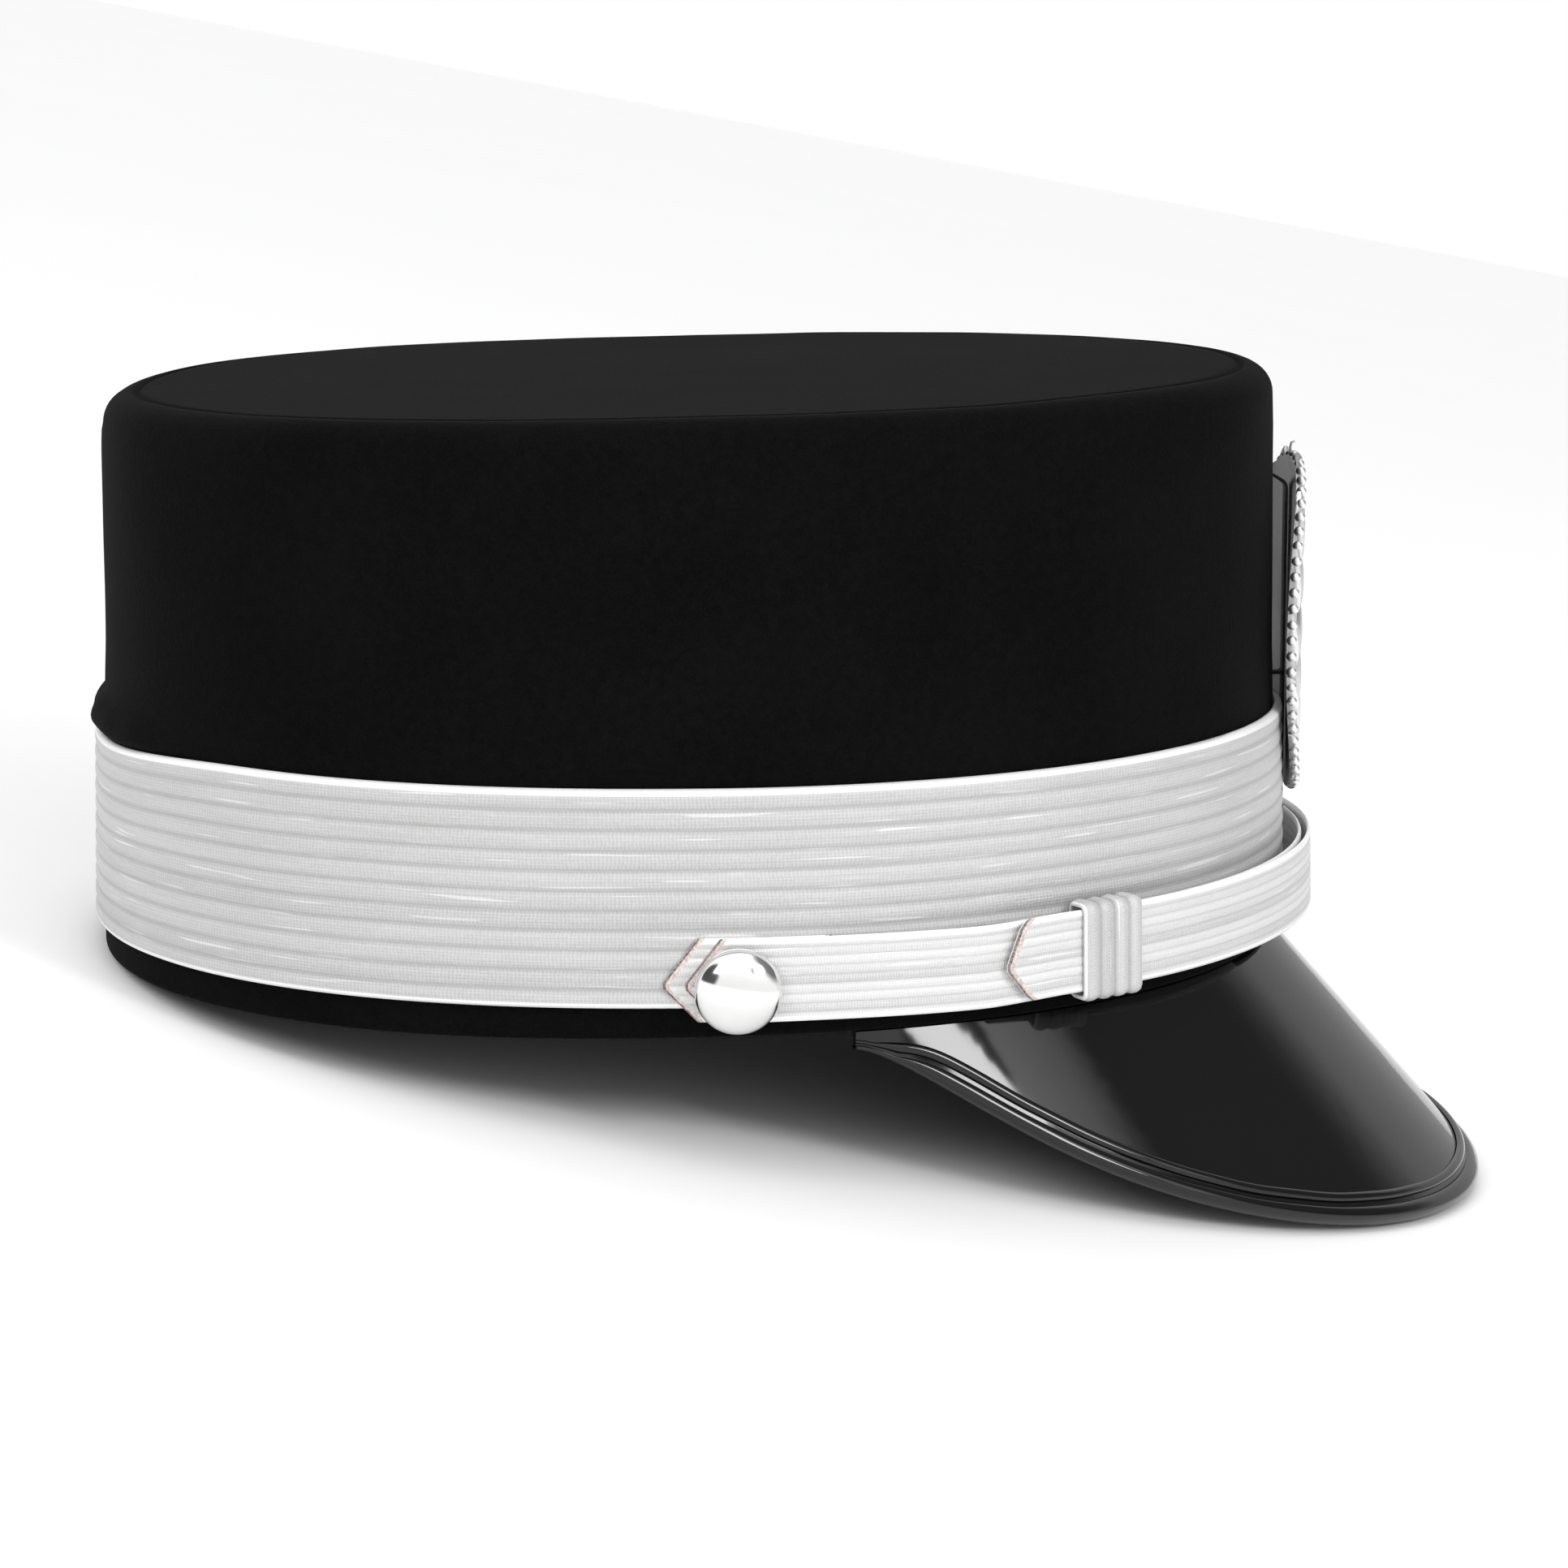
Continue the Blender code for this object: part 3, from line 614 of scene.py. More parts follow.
def roll_rows():
    """The spare cloth over the band, fuller and lower in some places than in others."""
    foot = wall(turns, 0.0)
    uneven = 1 + ripples(foot, *ROLL_UNEVEN)
    sag = ripples(foot, *ROLL_SAG) * roll_share(turns)
    rows = []
    for share in np.linspace(0, 1, ROLL_ROWS):
        bulge = math.sin(math.pi * share ** ROLL_CREST) ** ROLL_FULLNESS if share < 1 else 0.0
        rise = share * ROLL_HEIGHT * (0.8 + 0.2 * uneven)
        height = band_top(turns) + GAP + rise + sag * (1 - share)
        rows.append(wall(turns, height, bulge * ROLL_DEPTH * roll_share(turns) * uneven))
    return rows


def edge_row(a, depth):
    """The rounded edge at an angle, on a face that lies a depth inside the outer one."""
    inset, drop = EDGE_RADIUS * (1 - math.cos(a)), EDGE_RADIUS * (1 - math.sin(a))
    return on_top(turns, depth + inset, depth + drop)


def crown_rows():
    inner_ring = on_top(turns, LINING_INSET, CROWN_WALL)
    rows = rings_to_middle(inner_ring, TOP_SHARES[::-1]) + [inner_ring]
    rows += [edge_row(a, CROWN_WALL) for a in sweep(60, 0, 3)]
    inner_top = CROWN_HEIGHT - CROWN_WALL - EDGE_RADIUS
    rows += [wall(turns, inner_top * share, -CROWN_WALL) for share in INSIDE_SHARES]
    rows += hem_rows()
    rows += [wall(turns, hem_height(turns) + CROWN_WALL / 2 + rise) for rise in BEHIND_BAND]
    rows += roll_rows()
    foot, top = BAND_LINE + ROLL_HEIGHT + ABOVE_ROLL, CROWN_HEIGHT - EDGE_RADIUS
    rows += [wall(turns, foot + (top - foot) * share) for share in OUTSIDE_SHARES]
    rows += [edge_row(a, 0.0) for a in sweep(0, 90, EDGE_STEPS)]
    for share in SEAM_SHARES:
        dip = SEAM_DEPTH * math.sin(math.pi * share)
        rows.append(on_top(turns, EDGE_RADIUS + SEAM_WIDTH * share, dip))
    return rows + rings_to_middle(rows[-1], TOP_SHARES)


grid = np.array(crown_rows())
lay = lay_of(grid, length_at(turns))
# The ripples lift and sink the top, and push the side in and out between band and edge.
soft = sum(ripples(grid, *wave) for wave in CLOTH_RIPPLES)
above_band = share_between(grid[..., 2] - BAND_LINE, *SOFT_ABOVE_BAND)
grid[..., 2] += soft * share_between(CROWN_HEIGHT - grid[..., 2], *SOFT_TOP)
below_edge = 1 - share_between(CROWN_HEIGHT - grid[..., 2], *SOFT_BELOW_TOP)
grid += wall_away(turns) * (soft * above_band * below_edge)[..., None]
poles = (grid[0].mean(axis=0), grid[-1].mean(axis=0))
crown = skin("crown_cloth", grid, lay, closed_along=True, poles=poles)

# %% [markdown]
# Felted wool is matt and very dark, and the nap on it catches light at a low angle: that is
# why the flat top looks greyer than the side. The shader's sheen does that. The mesh can't
# hold a nap, so three sizes of noise carry it as bump: fibres, small tufts, and a faint
# upright grain from the weave underneath. The colour drifts a little with them.

# %% Wool
finish = Finish("wool", Sheen_Weight=0.0165, Sheen_Roughness=0.35, Specular_IOR_Level=0.03)
fibres = finish.cells(0.00035, detail=3.0)
tufts = finish.cells(0.0016)
grain = finish.lay_cells(0.0006, 0.006, detail=1.0)
patches = finish.cells(0.022)
tone = finish.between(fibres * 0.45 + tufts * 0.3 + patches * 0.25, 0.30, 0.70)
colour = finish.mix(tone, grey(0.0021), grey(0.0050, warm=0.02))
nap = fibres + 0.6 * tufts + 0.25 * grain
dress(crown, "crown", "wool", finish.paint(colour, 0.80 + 0.15 * tufts, nap, 0.00018))

# %% [markdown]
# The band is a wide flat braid of silver wire thread. It is woven as eleven ribs side by
# side, each one a bundle of threads, with a firm edge above and below. The ribs are real
# shape, because they catch the light where the band turns away from you. The fine threads
# across them are bump. The braid is a closed ring, so its grid closes both ways.

# %% Band
BAND_THICKNESS = 0.0014
BAND_RIBS = 11
RIB_DEPTH = 0.00019
RIB_STEPS = 8
BAND_STATIONS = 420
BAND_RIPPLES = (0.030, 0.00022, 6.0)
BAND_IN = GAP
BAND_OUT = BAND_IN + BAND_THICKNESS
EDGE_SHARE = 0.3


def ribbed(share, ribs, depth):
    """How far a ribbed face dips at a share of its width: soft grooves between round ribs."""
    return depth * np.cos(math.pi * ribs * share) ** 2


def band_profile():
    """The band's section: a share of its width, and the distance out, all the way round."""
    shares = np.linspace(0, 1, BAND_RIBS * RIB_STEPS + 1)
    face = BAND_OUT - ribbed(shares, BAND_RIBS, RIB_DEPTH)
    face[[0, -1]] = BAND_IN + EDGE_SHARE * BAND_THICKNESS
    back = np.linspace(1, 0, 5)[1:-1]
    share = np.concatenate([shares, [1.0], back, [0.0]])
    out = np.concatenate([face, [BAND_IN], BAND_IN + 0 * back, [BAND_IN]])
    return share, out


band_turns = np.linspace(0, 2 * math.pi, BAND_STATIONS, endpoint=False)
share, out = band_profile()
heights = BAND_LOW + share[:, None] * (band_top(band_turns) - BAND_LOW)
grid = wall(band_turns, heights, out[:, None])
grid[..., 2] += ripples(grid, *BAND_RIPPLES) * np.sin(math.pi * share)[:, None]
lay = pairs(length_at(band_turns), share[:, None] * BAND_HEIGHT)
around = wall(np.append(band_turns, 2 * math.pi), BAND_LOW + BAND_HEIGHT / 2, BAND_OUT)
print("the band laid flat:", mm(ways_along(around)[-1]), "x", mm(BAND_HEIGHT), "mm")
band = skin("band_braid", grid, lay, closed_along=True, closed_across=True)

# %% [markdown]
# Silver braid is neither cloth nor metal: fine flattened wire is wound round a thread core,
# so it is bright and a little pearly, and its gloss breaks up into threads. The colour is a
# light neutral grey, partly metallic, with painted shading along the threads and painted shade
# in the grooves. No two ribs are quite the same tone. Here and there a thread lies flat: it is
# smoother there, and a painted highlight runs as a streak along its rib. The firm edges above
# and below get a painted highlight, so they are the brightest lines. The strap and the slides
# use the same function.

# %% Silver braid
def braid_finish(name, tone, groove_shade, ribs, width, thread, rib_change, edge_highlight_width):
    """Braid of ribs along it, with threads across them at a spacing in metres.

    groove_shade is how much painted shade darkens the grooves, rib_change how much the ribs
    differ, and edge_highlight_width how wide the painted highlight along each edge is."""
    finish = Finish(name, Sheen_Weight=0.08, Sheen_Roughness=0.3)
    along, across = finish.lay()
    # Ribs, each with a tone of its own, and a firm edge on each side that gets a painted
    # highlight.
    rib = finish.maths("ABSOLUTE", finish.maths("SINE", across * (math.pi * ribs / width)))
    number = finish.maths("FLOOR", across * (ribs / width))
    own = finish.add("TexWhiteNoise", {"noise_dimensions": "1D"}, {"W": number}, out="Value")
    aside = finish.maths("ABSOLUTE", across - width / 2)
    edge = finish.between(aside, width / 2 - edge_highlight_width, width / 2 - 0.7 * edge_highlight_width)
    # Threads: the weft across each rib, the warp along it, and finer and coarser unevenness.
    wander = finish.lay_cells(0.010, 0.0016)
    phase = (along + wander * thread) * (2 * math.pi / thread) + number * math.pi
    weft = 0.5 + 0.5 * finish.maths("SINE", phase)
    warp = 0.5 + 0.5 * finish.maths("SINE", across * (2 * math.pi / (thread * 0.8)))
    fuzz = finish.cells(thread * 0.9, detail=3.0)
    strands = finish.lay_cells(0.012, 0.0006)
    worn = finish.lay_cells(0.024, 0.008)
    flat = finish.between(finish.lay_cells(0.022, 0.0008, detail=1.0), 0.66, 0.72)
    # Colour: painted thread shading, brighter ribs, painted highlights on the edges and the flat
    # streaks, and painted shade in the grooves.
    # Painted shading of the weft and warp threads, mixed with random tone from the noises.
    thread_shade_and_tone = 0.16 * weft + 0.12 * warp + 0.30 * fuzz + 0.26 * strands + 0.16 * worn
    colour = finish.mix(finish.between(thread_shade_and_tone, 0.30, 0.70), grey(tone * 0.86), grey(tone * 1.12))
    colour = finish.mix(own * rib_change, colour, grey(min(tone * 1.5, 0.98)))
    # Painted highlight: the edges and the flat threads are mixed towards near white.
    colour = finish.mix(finish.maths("MAXIMUM", flat * 0.45, edge), colour, grey(0.92))
    # Painted shade: the grooves between the ribs are darkened in the colour.
    painted_groove_shade = (1 - finish.between(rib, 0.0, 0.75)) * (1 - edge) * groove_shade
    colour = finish.mix(painted_groove_shade, colour, grey(tone * 0.45))
    height = rib * 0.3 + weft * 0.22 + warp * 0.10 + fuzz * 0.35 + strands * 0.3
    roughness = 0.50 - 0.15 * flat + 0.10 * fuzz
    return finish.paint(colour, roughness, height, 0.00014, metallic=0.20 + 0.15 * flat)


silver_braid = braid_finish("silver_braid", tone=0.525, groove_shade=0.35, ribs=BAND_RIBS,
                            width=BAND_HEIGHT, thread=0.00062, rib_change=0.15, edge_highlight_width=0.0011)
dress(band, "band", "silver_braid", silver_braid)

# %% [markdown]
# The visor is stiff sheet faced with patent. It folds at the hem: a flange goes up inside
# the crown, and the fan slopes down and out. A fan like that is a ruled surface: straight
# lines run from the hem to the edge, and only their direction changes from the middle to the
# corners. The grid follows those lines, so the gloss runs along them as on the real thing.

# %% Visor
VISOR_THICKNESS = 0.0015
VISOR_DEPTH = 0.0562
VISOR_CORNER_DEPTH = 0.0020
VISOR_CORNER = math.radians(76.2)
VISOR_SLOPE = math.radians(48.5)
VISOR_CORNER_SLOPE = math.radians(71.5)
VISOR_SLOPE_POWER = 3
VISOR_SWEEP = 2.45
VISOR_HOLLOW = 1.49
VISOR_FAN = 1.35
VISOR_INSET = 0.0012
CURVE_GAP = 0.00045
VISOR_STATIONS = 301
VISOR_ROWS = 34
FLANGE_ROWS = (0.0090, 0.0063, 0.0036, 0.0010)
FRAME_STEP = 0.0005
VISOR_RIPPLES = (0.030, 0.00004, 3.0)

visor_turns = np.linspace(-VISOR_CORNER, VISOR_CORNER, VISOR_STATIONS)

# %% The visor's lines
def visor_depth(turn):
    share = np.minimum(np.abs(turn / VISOR_CORNER), 1.0)
    fill = (1 - share ** VISOR_SWEEP) ** VISOR_HOLLOW
    return VISOR_CORNER_DEPTH + (VISOR_DEPTH - VISOR_CORNER_DEPTH) * fill


def visor_down(turn):
    """Unit vectors down the visor's straight lines."""
    steeper = np.abs(turn / VISOR_CORNER) ** VISOR_SLOPE_POWER
    slope = VISOR_SLOPE + (VISOR_CORNER_SLOPE - VISOR_SLOPE) * steeper
    away = wall_away(turn)
    heading = np.arctan2(away[..., 1], away[..., 0]) * VISOR_FAN
    level = np.cos(slope)
    return np.stack([level * np.cos(heading), level * np.sin(heading), -np.sin(slope)], axis=-1)


def visor_point(turn, depth):
    depth = np.asarray(depth)[..., None]
    return wall(turn, -GAP, -VISOR_INSET) + visor_down(turn) * depth


def visor_frame(turn):
    """Middle of the visor's edge, the way out across the edge, and the face's normal."""
    back, edge, ahead = [visor_point(near, visor_depth(near)) for near in
                         (turn - FRAME_STEP, turn, turn + FRAME_STEP)]
    along = unit(ahead - back)
    normal = unit(np.cross(visor_down(turn), along))
    outward = unit(np.cross(along, normal))
    return edge - normal * VISOR_THICKNESS / 2, outward, normal

# %% Build the visor
def visor_rows():
    """The sheet's outer face from the top of the flange to the edge."""
    inside = -CROWN_WALL - CURVE_GAP
    rows = [wall(visor_turns, height, inside) for height in FLANGE_ROWS]
    rows.append(wall(visor_turns, -GAP, inside + GAP))
    depth = visor_depth(visor_turns)
    return np.array(rows + [visor_point(visor_turns, share * depth)
                            for share in np.linspace(0, 1, VISOR_ROWS)])


def normals_of(grid):
    """Unit normals of a grid of points, on the side that faces up and out."""
    along = np.gradient(grid, axis=1)
    across = np.gradient(grid, axis=0)
    return unit(np.cross(across, along))


face = visor_rows()
normal = normals_of(face)
face += normal * ripples(face, *VISOR_RIPPLES)[..., None]
grid = np.concatenate([face, (face - normal * VISOR_THICKNESS)[::-1]])
visor = skin("visor_sheet", grid, lay_of(grid, length_at(visor_turns)), closed_across=True)
columns = VISOR_STATIONS - 1
for polygon in visor.data.polygons[len(face) * columns:(len(grid) - 1) * columns]:
    polygon.material_index = 1
close_ends(visor, grid, sheet=True)
seam, edge = face[-VISOR_ROWS], face[-1]
print("the visor's seam:", mm(ways_along(seam)[-1]), "mm; its edge:", mm(ways_along(edge)[-1]),
      "mm; its depth in the middle:", mm(VISOR_DEPTH), "mm")

# %% [markdown]
# Patent is a thick clear gloss over black. What you see in it is mostly the studio, so its
# colour hardly matters and its surface does: it is smooth with a very slight orange peel, and
# the gloss is a little uneven where it has been handled. The underside is the plain back of
# the sheet, black and satin with a leather grain.

# %% Patent
finish = Finish("patent", Specular_IOR_Level=0.5)
peel = finish.cells(0.0045, detail=1.0)
handled = finish.cells(0.03, detail=3.0)
colour = finish.mix(handled, grey(0.0022), grey(0.0042))
patent = finish.paint(colour, 0.045 + 0.05 * handled, peel, 0.00002)

finish = Finish("visor_back", Specular_IOR_Level=0.3)
place = {"Vector": finish.add("TexCoord", {}, {}, out="Object"), "Scale": 900.0}
pebbles = finish.add("TexVoronoi", {"feature": "DISTANCE_TO_EDGE"}, place)
worn = finish.cells(0.02, detail=3.0)
tone = finish.between(pebbles, 0.0, 0.12) * 0.7 + worn * 0.3
colour = finish.mix(tone, grey(0.005), grey(0.014))
visor_back = finish.paint(colour, 0.42 + 0.2 * worn, finish.between(pebbles, 0.0, 0.3), 0.00008)
dress(visor, "visor", "patent", patent, visor_back, sharp=50)

# %% [markdown]
# A strip of patent is wrapped over the visor's edge and turned under. Seen from above it is
# a fat roll at the very edge, then a groove, then a fine bead where the strip was pressed
# against the sheet. Its section is drawn once and carried along the edge. Away from the
# middle the roll's nose gets shorter, and at the corners the visor has less room, so there
# the whole strip is narrower.

# %% Rim
RIM_LIP = 0.0042
RIM_LEAST_LIP = 0.0008
LIP_EASE = 4
RIM_UNDERLIP = 0.0036
RIM_GAP = 0.00015
RIM_WALL = 0.00045
RIM_SWELL = 0.00025
RIM_BEAD = 0.0008
RIM_NOSE = 0.0018
NOSE_TAPER = 0.6
TAPER_START = math.radians(8)
TAPER_END = math.radians(45)
RIM_STATIONS = 361
BEAD_ROUND = 1.15
BEAD_RISE = 0.95
GROOVE_PLACE = 2.5
GROOVE_DROP = 0.00045
CREST = 0.80
NOSE_FLATNESS = 0.80
BEAD_STEPS = 9
BEAD_SQUARENESS = 0.9
NOSE_STEPS = 24
RIM_RIPPLES = (0.010, 0.04, 5.0)

# %% Build the rim
def rounded(a, crest, flatness):
    """Cosine and sine of an angle, on an outline with a crest or with flat sides."""
    c, s = math.cos(a), math.sin(a)
    return math.copysign(abs(c) ** crest, c), math.copysign(abs(s) ** flatness, s)


def rim_outline(turn, lip):
    """The rim's section for arrays of turns and lips: (out past the edge, up from mid-sheet)."""
    inner = VISOR_THICKNESS / 2 + RIM_GAP
    outer = inner + RIM_WALL
    bead = np.minimum(RIM_BEAD, lip / 3)
    under = np.minimum(RIM_UNDERLIP, lip - RIM_LEAST_LIP)
    full_nose = RIM_NOSE * (1 - NOSE_TAPER * share_between(np.abs(turn), TAPER_START, TAPER_END))
    nose = np.minimum(full_nose, CURVE_GAP + RIM_WALL + lip - RIM_LEAST_LIP)
    points = [(-lip, inner)]
    for a in sweep(180, 0, BEAD_STEPS):
        c, s = rounded(a, BEAD_SQUARENESS, BEAD_SQUARENESS)
        up = outer - GROOVE_DROP + bead * BEAD_RISE * s
        points.append((-lip + bead * BEAD_ROUND * (1 + c), up))
    half = (nose + lip - GROOVE_PLACE * BEAD_ROUND * bead) / 2
    for a in sweep(172, -90, NOSE_STEPS):
        c, s = rounded(a, CREST, NOSE_FLATNESS)
        tall = outer + RIM_SWELL if s > 0 else outer
        points.append((nose - half + half * c, tall * s))
    return points + [(-under, -outer), (-under, -inner), (CURVE_GAP, -inner), (CURVE_GAP, inner)]


rim_turns = np.linspace(-VISOR_CORNER, VISOR_CORNER, RIM_STATIONS)
middle, outward, normal = visor_frame(rim_turns)
room = (visor_depth(rim_turns) - RIM_NOSE) * (outward * visor_down(rim_turns)).sum(axis=-1)
room = np.maximum(room, RIM_LEAST_LIP)
lip = room / (1 + (room / RIM_LIP) ** LIP_EASE) ** (1 / LIP_EASE)
uneven = 1 + ripples(middle, *RIM_RIPPLES)
grid = np.array([middle + outward * (x * uneven)[:, None] + normal * (y * uneven)[:, None]
                 for x, y in rim_outline(rim_turns, lip)])
rim = skin("rim_binding", grid, lay_of(grid, length_at(rim_turns)), closed_across=True)
close_ends(rim, grid)
print("the rim's length:", mm(ways_along(middle)[-1]), "mm")
dress(rim, "visor_rim", "patent", patent, sharp=60)

# %% [markdown]
# The chin strap is half-inch braid in two pieces. Each is fastened to its own button, runs
# round the front, goes through the far slide and ends in a short tab. On the front they lie
# one over the other and stand off the band. A strap is ribbed along its length, so its grid
# has a row for each step across the braid. The rows start and stop where the slanted end cuts
# them, which keeps the ribs parallel right to the cut, as scissors would leave them. At its
# button a strap is double: the braid, and a backing that shows a little beyond the point.

# %% Straps
STRAP_WIDTH = 0.0133
STRAP_THICKNESS = 0.0013
STRAP_HEIGHT = 0.0098
STRAP_STANDOFF = 0.0016
STANDOFF_START = math.radians(82)
STANDOFF_END = math.radians(60)
STRAP_LIFT = 0.0006
LIFT_START = math.radians(66)
LIFT_END = math.radians(57)
OVER_LIFT = 0.0005
OVER_PACE = 1.5
STRAP_POINT = 0.0053
TAB_POINT = 0.0104
TAB_LENGTH = 0.0130
SLIDE_TURN = math.radians(52.6)
SLIDE_WIDTH = 0.0112
BUTTON_TURN = math.radians(87.4)
STRAP_PAST_BUTTON = 0.0060
STRAP_IN = BAND_OUT + GAP
STRAP_LAYER = STRAP_THICKNESS + GAP
STRAP_RIBS = 9
STRAP_RIB_DEPTH = 0.00007
STRAP_STEP = 0.0010
RIB_ROWS = 6
SELVEDGE = 0.90
FRONT_ROUNDING = 0.45
BACK_ROUNDING = 0.25
CUT_EDGE = 0.0011
CUT_STEPS = np.array([0.0, 0.36, 0.70])
CUT_DROP = np.array([0.60, 0.22, 0.05])

# %% Where the straps run, and their shape
def under_strap(turn):
    """Centre height and inner face of the strap that lies underneath."""
    off = share_between(np.abs(turn), STANDOFF_START, STANDOFF_END)
    lift = share_between(np.abs(turn), LIFT_START, LIFT_END)
    return STRAP_HEIGHT + STRAP_LIFT * lift, STRAP_IN + STRAP_STANDOFF * off


def over_strap(turn):
    """The same for the strap on top: on the band at its own button, then over the first."""
    height, inner = under_strap(turn)
    over = smooth(OVER_PACE * (STANDOFF_START - turn) / (STANDOFF_START - STANDOFF_END))
    return height + OVER_LIFT * over, inner + STRAP_LAYER * over


def strap_section(thickness):
    """Shares across the strap from -1 to 1, with the height of its front and its back."""
    across = np.linspace(-1, 1, STRAP_RIBS * RIB_ROWS + 1)
    dip = ribbed((across + 1) / 2, STRAP_RIBS, STRAP_RIB_DEPTH)
    selvedge = np.clip((np.abs(across) - SELVEDGE) / (1 - SELVEDGE), 0, 1)
    round_off = 1 - np.sqrt(np.clip(1 - selvedge ** 2, 0, 1))
    front = thickness * (1 - FRONT_ROUNDING * round_off) - dip
    return across, front, thickness * BACK_ROUNDING * round_off


def strap_piece(name, place, ends, lift, thickness):
    """A strap between two ends, each with its length round the wall and its cut.

    lift is how far the strap's back stands off the place's own face."""
    (first, first_cut), (last, last_cut) = sorted(ends, key=lambda end: end[0])
    shares = np.linspace(0, 1, int((last - first) / STRAP_STEP))
    fronts, backs, lay = [], [], []
    for share, high, low in zip(*strap_section(thickness)):
        start, end = first + first_cut(share), last - last_cut(share)
        middle = start + CUT_EDGE + (end - start - 2 * CUT_EDGE) * shares
        near, far = start + CUT_EDGE * CUT_STEPS, end - CUT_EDGE * CUT_STEPS[::-1]
        along = np.concatenate([near, middle, far])
        drop = np.concatenate([CUT_DROP, 0 * middle, CUT_DROP[::-1]])
        turn = turn_at(along)
        height, inner = place(turn)
        height = height + share * STRAP_WIDTH / 2
        fronts.append(wall(turn, height, inner + lift + low + (high - low) * (1 - drop)))
        backs.append(wall(turn, height, inner + lift + low))
        lay.append(pairs(along, (share + 1) * STRAP_WIDTH / 2))
    grid = np.array(fronts + backs[::-1])
    piece = skin(name, grid, np.array(lay + lay[::-1]), closed_across=True)
    columns = grid.shape[1] - 1
    for i, polygon in enumerate(piece.data.polygons):
        from_end = min(i % columns, columns - 1 - i % columns)
        # The outermost faces at each cut get the dark line: darker thread ends with painted shade.
        polygon.material_index = (2, 1, 1, 0)[min(from_end, 3)]
    close_ends(piece, grid, sheet=True)
    return piece


def cut(depth, corners):
    """An end's outline: how far it is cut back for a share across, from its corners."""
    places, shares = zip(*corners)
    return lambda across: depth * float(np.interp(across, places, shares))

# %% Build the straps
BRAID_SHARE = 0.5
BACKING_REACH = 0.0260
BACKING_PEEK = 0.0034
BACKING_GAP = 0.00005
RUN_STEPS = 600
POINT = cut(STRAP_POINT, [(-1.0, 1.0), (-0.20, 0.0), (-0.04, 0.0), (1.0, 1.0)])
TAB = cut(TAB_POINT, [(-1.0, 0.40), (-0.86, 0.30), (-0.20, 0.0), (-0.06, 0.0),
                      (0.75, 0.20), (0.94, 0.29), (1.0, 0.36)])
SQUARE = cut(0.0, [(-1.0, 0.0), (1.0, 0.0)])

button_end = float(length_at(BUTTON_TURN)) + STRAP_PAST_BUTTON + STRAP_POINT
tab_end = float(length_at(SLIDE_TURN)) + SLIDE_WIDTH / 2 + TAB_LENGTH
backing = STRAP_THICKNESS * (1 - BRAID_SHARE)

straps = []
for side, word, place in ((-1, "right", under_strap), (1, "left", over_strap)):
    layers = {
        "braid": ([(side * (button_end - BACKING_PEEK), POINT), (-side * tab_end, TAB)],
                  backing, STRAP_THICKNESS * BRAID_SHARE),
        "backing": ([(side * button_end, POINT), (side * (button_end - BACKING_REACH), SQUARE)],
                    0.0, backing - BACKING_GAP)}
    for layer, (ends, lift, thickness) in layers.items():
        piece = strap_piece(f"strap_{word}_{layer}", place, ends, lift, thickness)
        straps.append((word, piece))
    run = turn_at(np.linspace(-button_end, tab_end, RUN_STEPS)) * -side
    flat_length = ways_along(wall(run, *place(run)))[-1]
    print(f"the {word} strap laid flat:", mm(flat_length), "x", mm(STRAP_WIDTH), "mm")

# %% [markdown]
# The strap's braid is finer and brighter than the band's, and its ribs differ more. Its cut
# ends show the pinkish tan core under the silver, and the very ends of the threads are darker
# brown. So the ends get two finishes of their own, which show as two thin lines round each
# point: first a dark line, partly the darker thread ends and partly painted shade round the
# cut, and then the bare core.

# %% Strap braid and its cut ends
def thread_ends(name, dark, light):
    finish = Finish(name)
    strands = finish.cells(0.0004)
    colour = finish.mix(finish.between(strands, 0.3, 0.7), (*dark, 1.0), (*light, 1.0))
    return finish.paint(colour, 0.75, strands, 0.0002)


strap_braid = braid_finish("strap_braid", tone=0.60, groove_shade=0.22, ribs=STRAP_RIBS,
                           width=STRAP_WIDTH, thread=0.00045, rib_change=0.5, edge_highlight_width=0.0010)
bare_core = thread_ends("bare_core", (0.50, 0.41, 0.39), (0.80, 0.68, 0.66))
# The dark line round the cuts is partly darker thread ends and partly painted shade.
dark_ends_and_shade = thread_ends("dark_ends_and_shade", (0.10, 0.085, 0.08), (0.34, 0.29, 0.28))
for word, piece in straps:
    dress(piece, f"strap_{word}", "strap_braid", strap_braid, bare_core, dark_ends_and_shade, sharp=40)

# %% [markdown]
# A slide is a short loop of the same braid, wound round both layers of the strap so that its
# ribs stand upright. Its section is a rounded rectangle round the layers. The grid goes round
# the loop one way and across the ribs the other, with an inner face just clear of the strap.

# %% Slides
SLIDE_THICKNESS = 0.0009
SLIDE_RIBS = 4
SLIDE_RIB_DEPTH = 0.00030
SLIDE_CORNER = 0.0006
SLIDE_EDGE = 0.35
SLIDE_RIB_ROWS = 8
LOOP_CORNER_STEPS = 6
LOOP_POINTS = 56

# %% Build the slides
def loop_points(half_up, half_out, radius):
    """A rounded rectangle as arrays of up and out, and the way round it."""
    line = []
    for i, (up, out) in enumerate(((1, -1), (1, 1), (-1, 1), (-1, -1))):
        for a in sweep(90 * (i - 1), 90 * i, LOOP_CORNER_STEPS + 1):
            line.append((up * (half_up - radius) + radius * math.cos(a),
                         out * (half_out - radius) + radius * math.sin(a)))
    line = np.array(line + line[:1])
    ways = ways_along(line)
    even = np.linspace(0, ways[-1], LOOP_POINTS, endpoint=False)
    return np.interp(even, ways, line[:, 0]), np.interp(even, ways, line[:, 1]), even


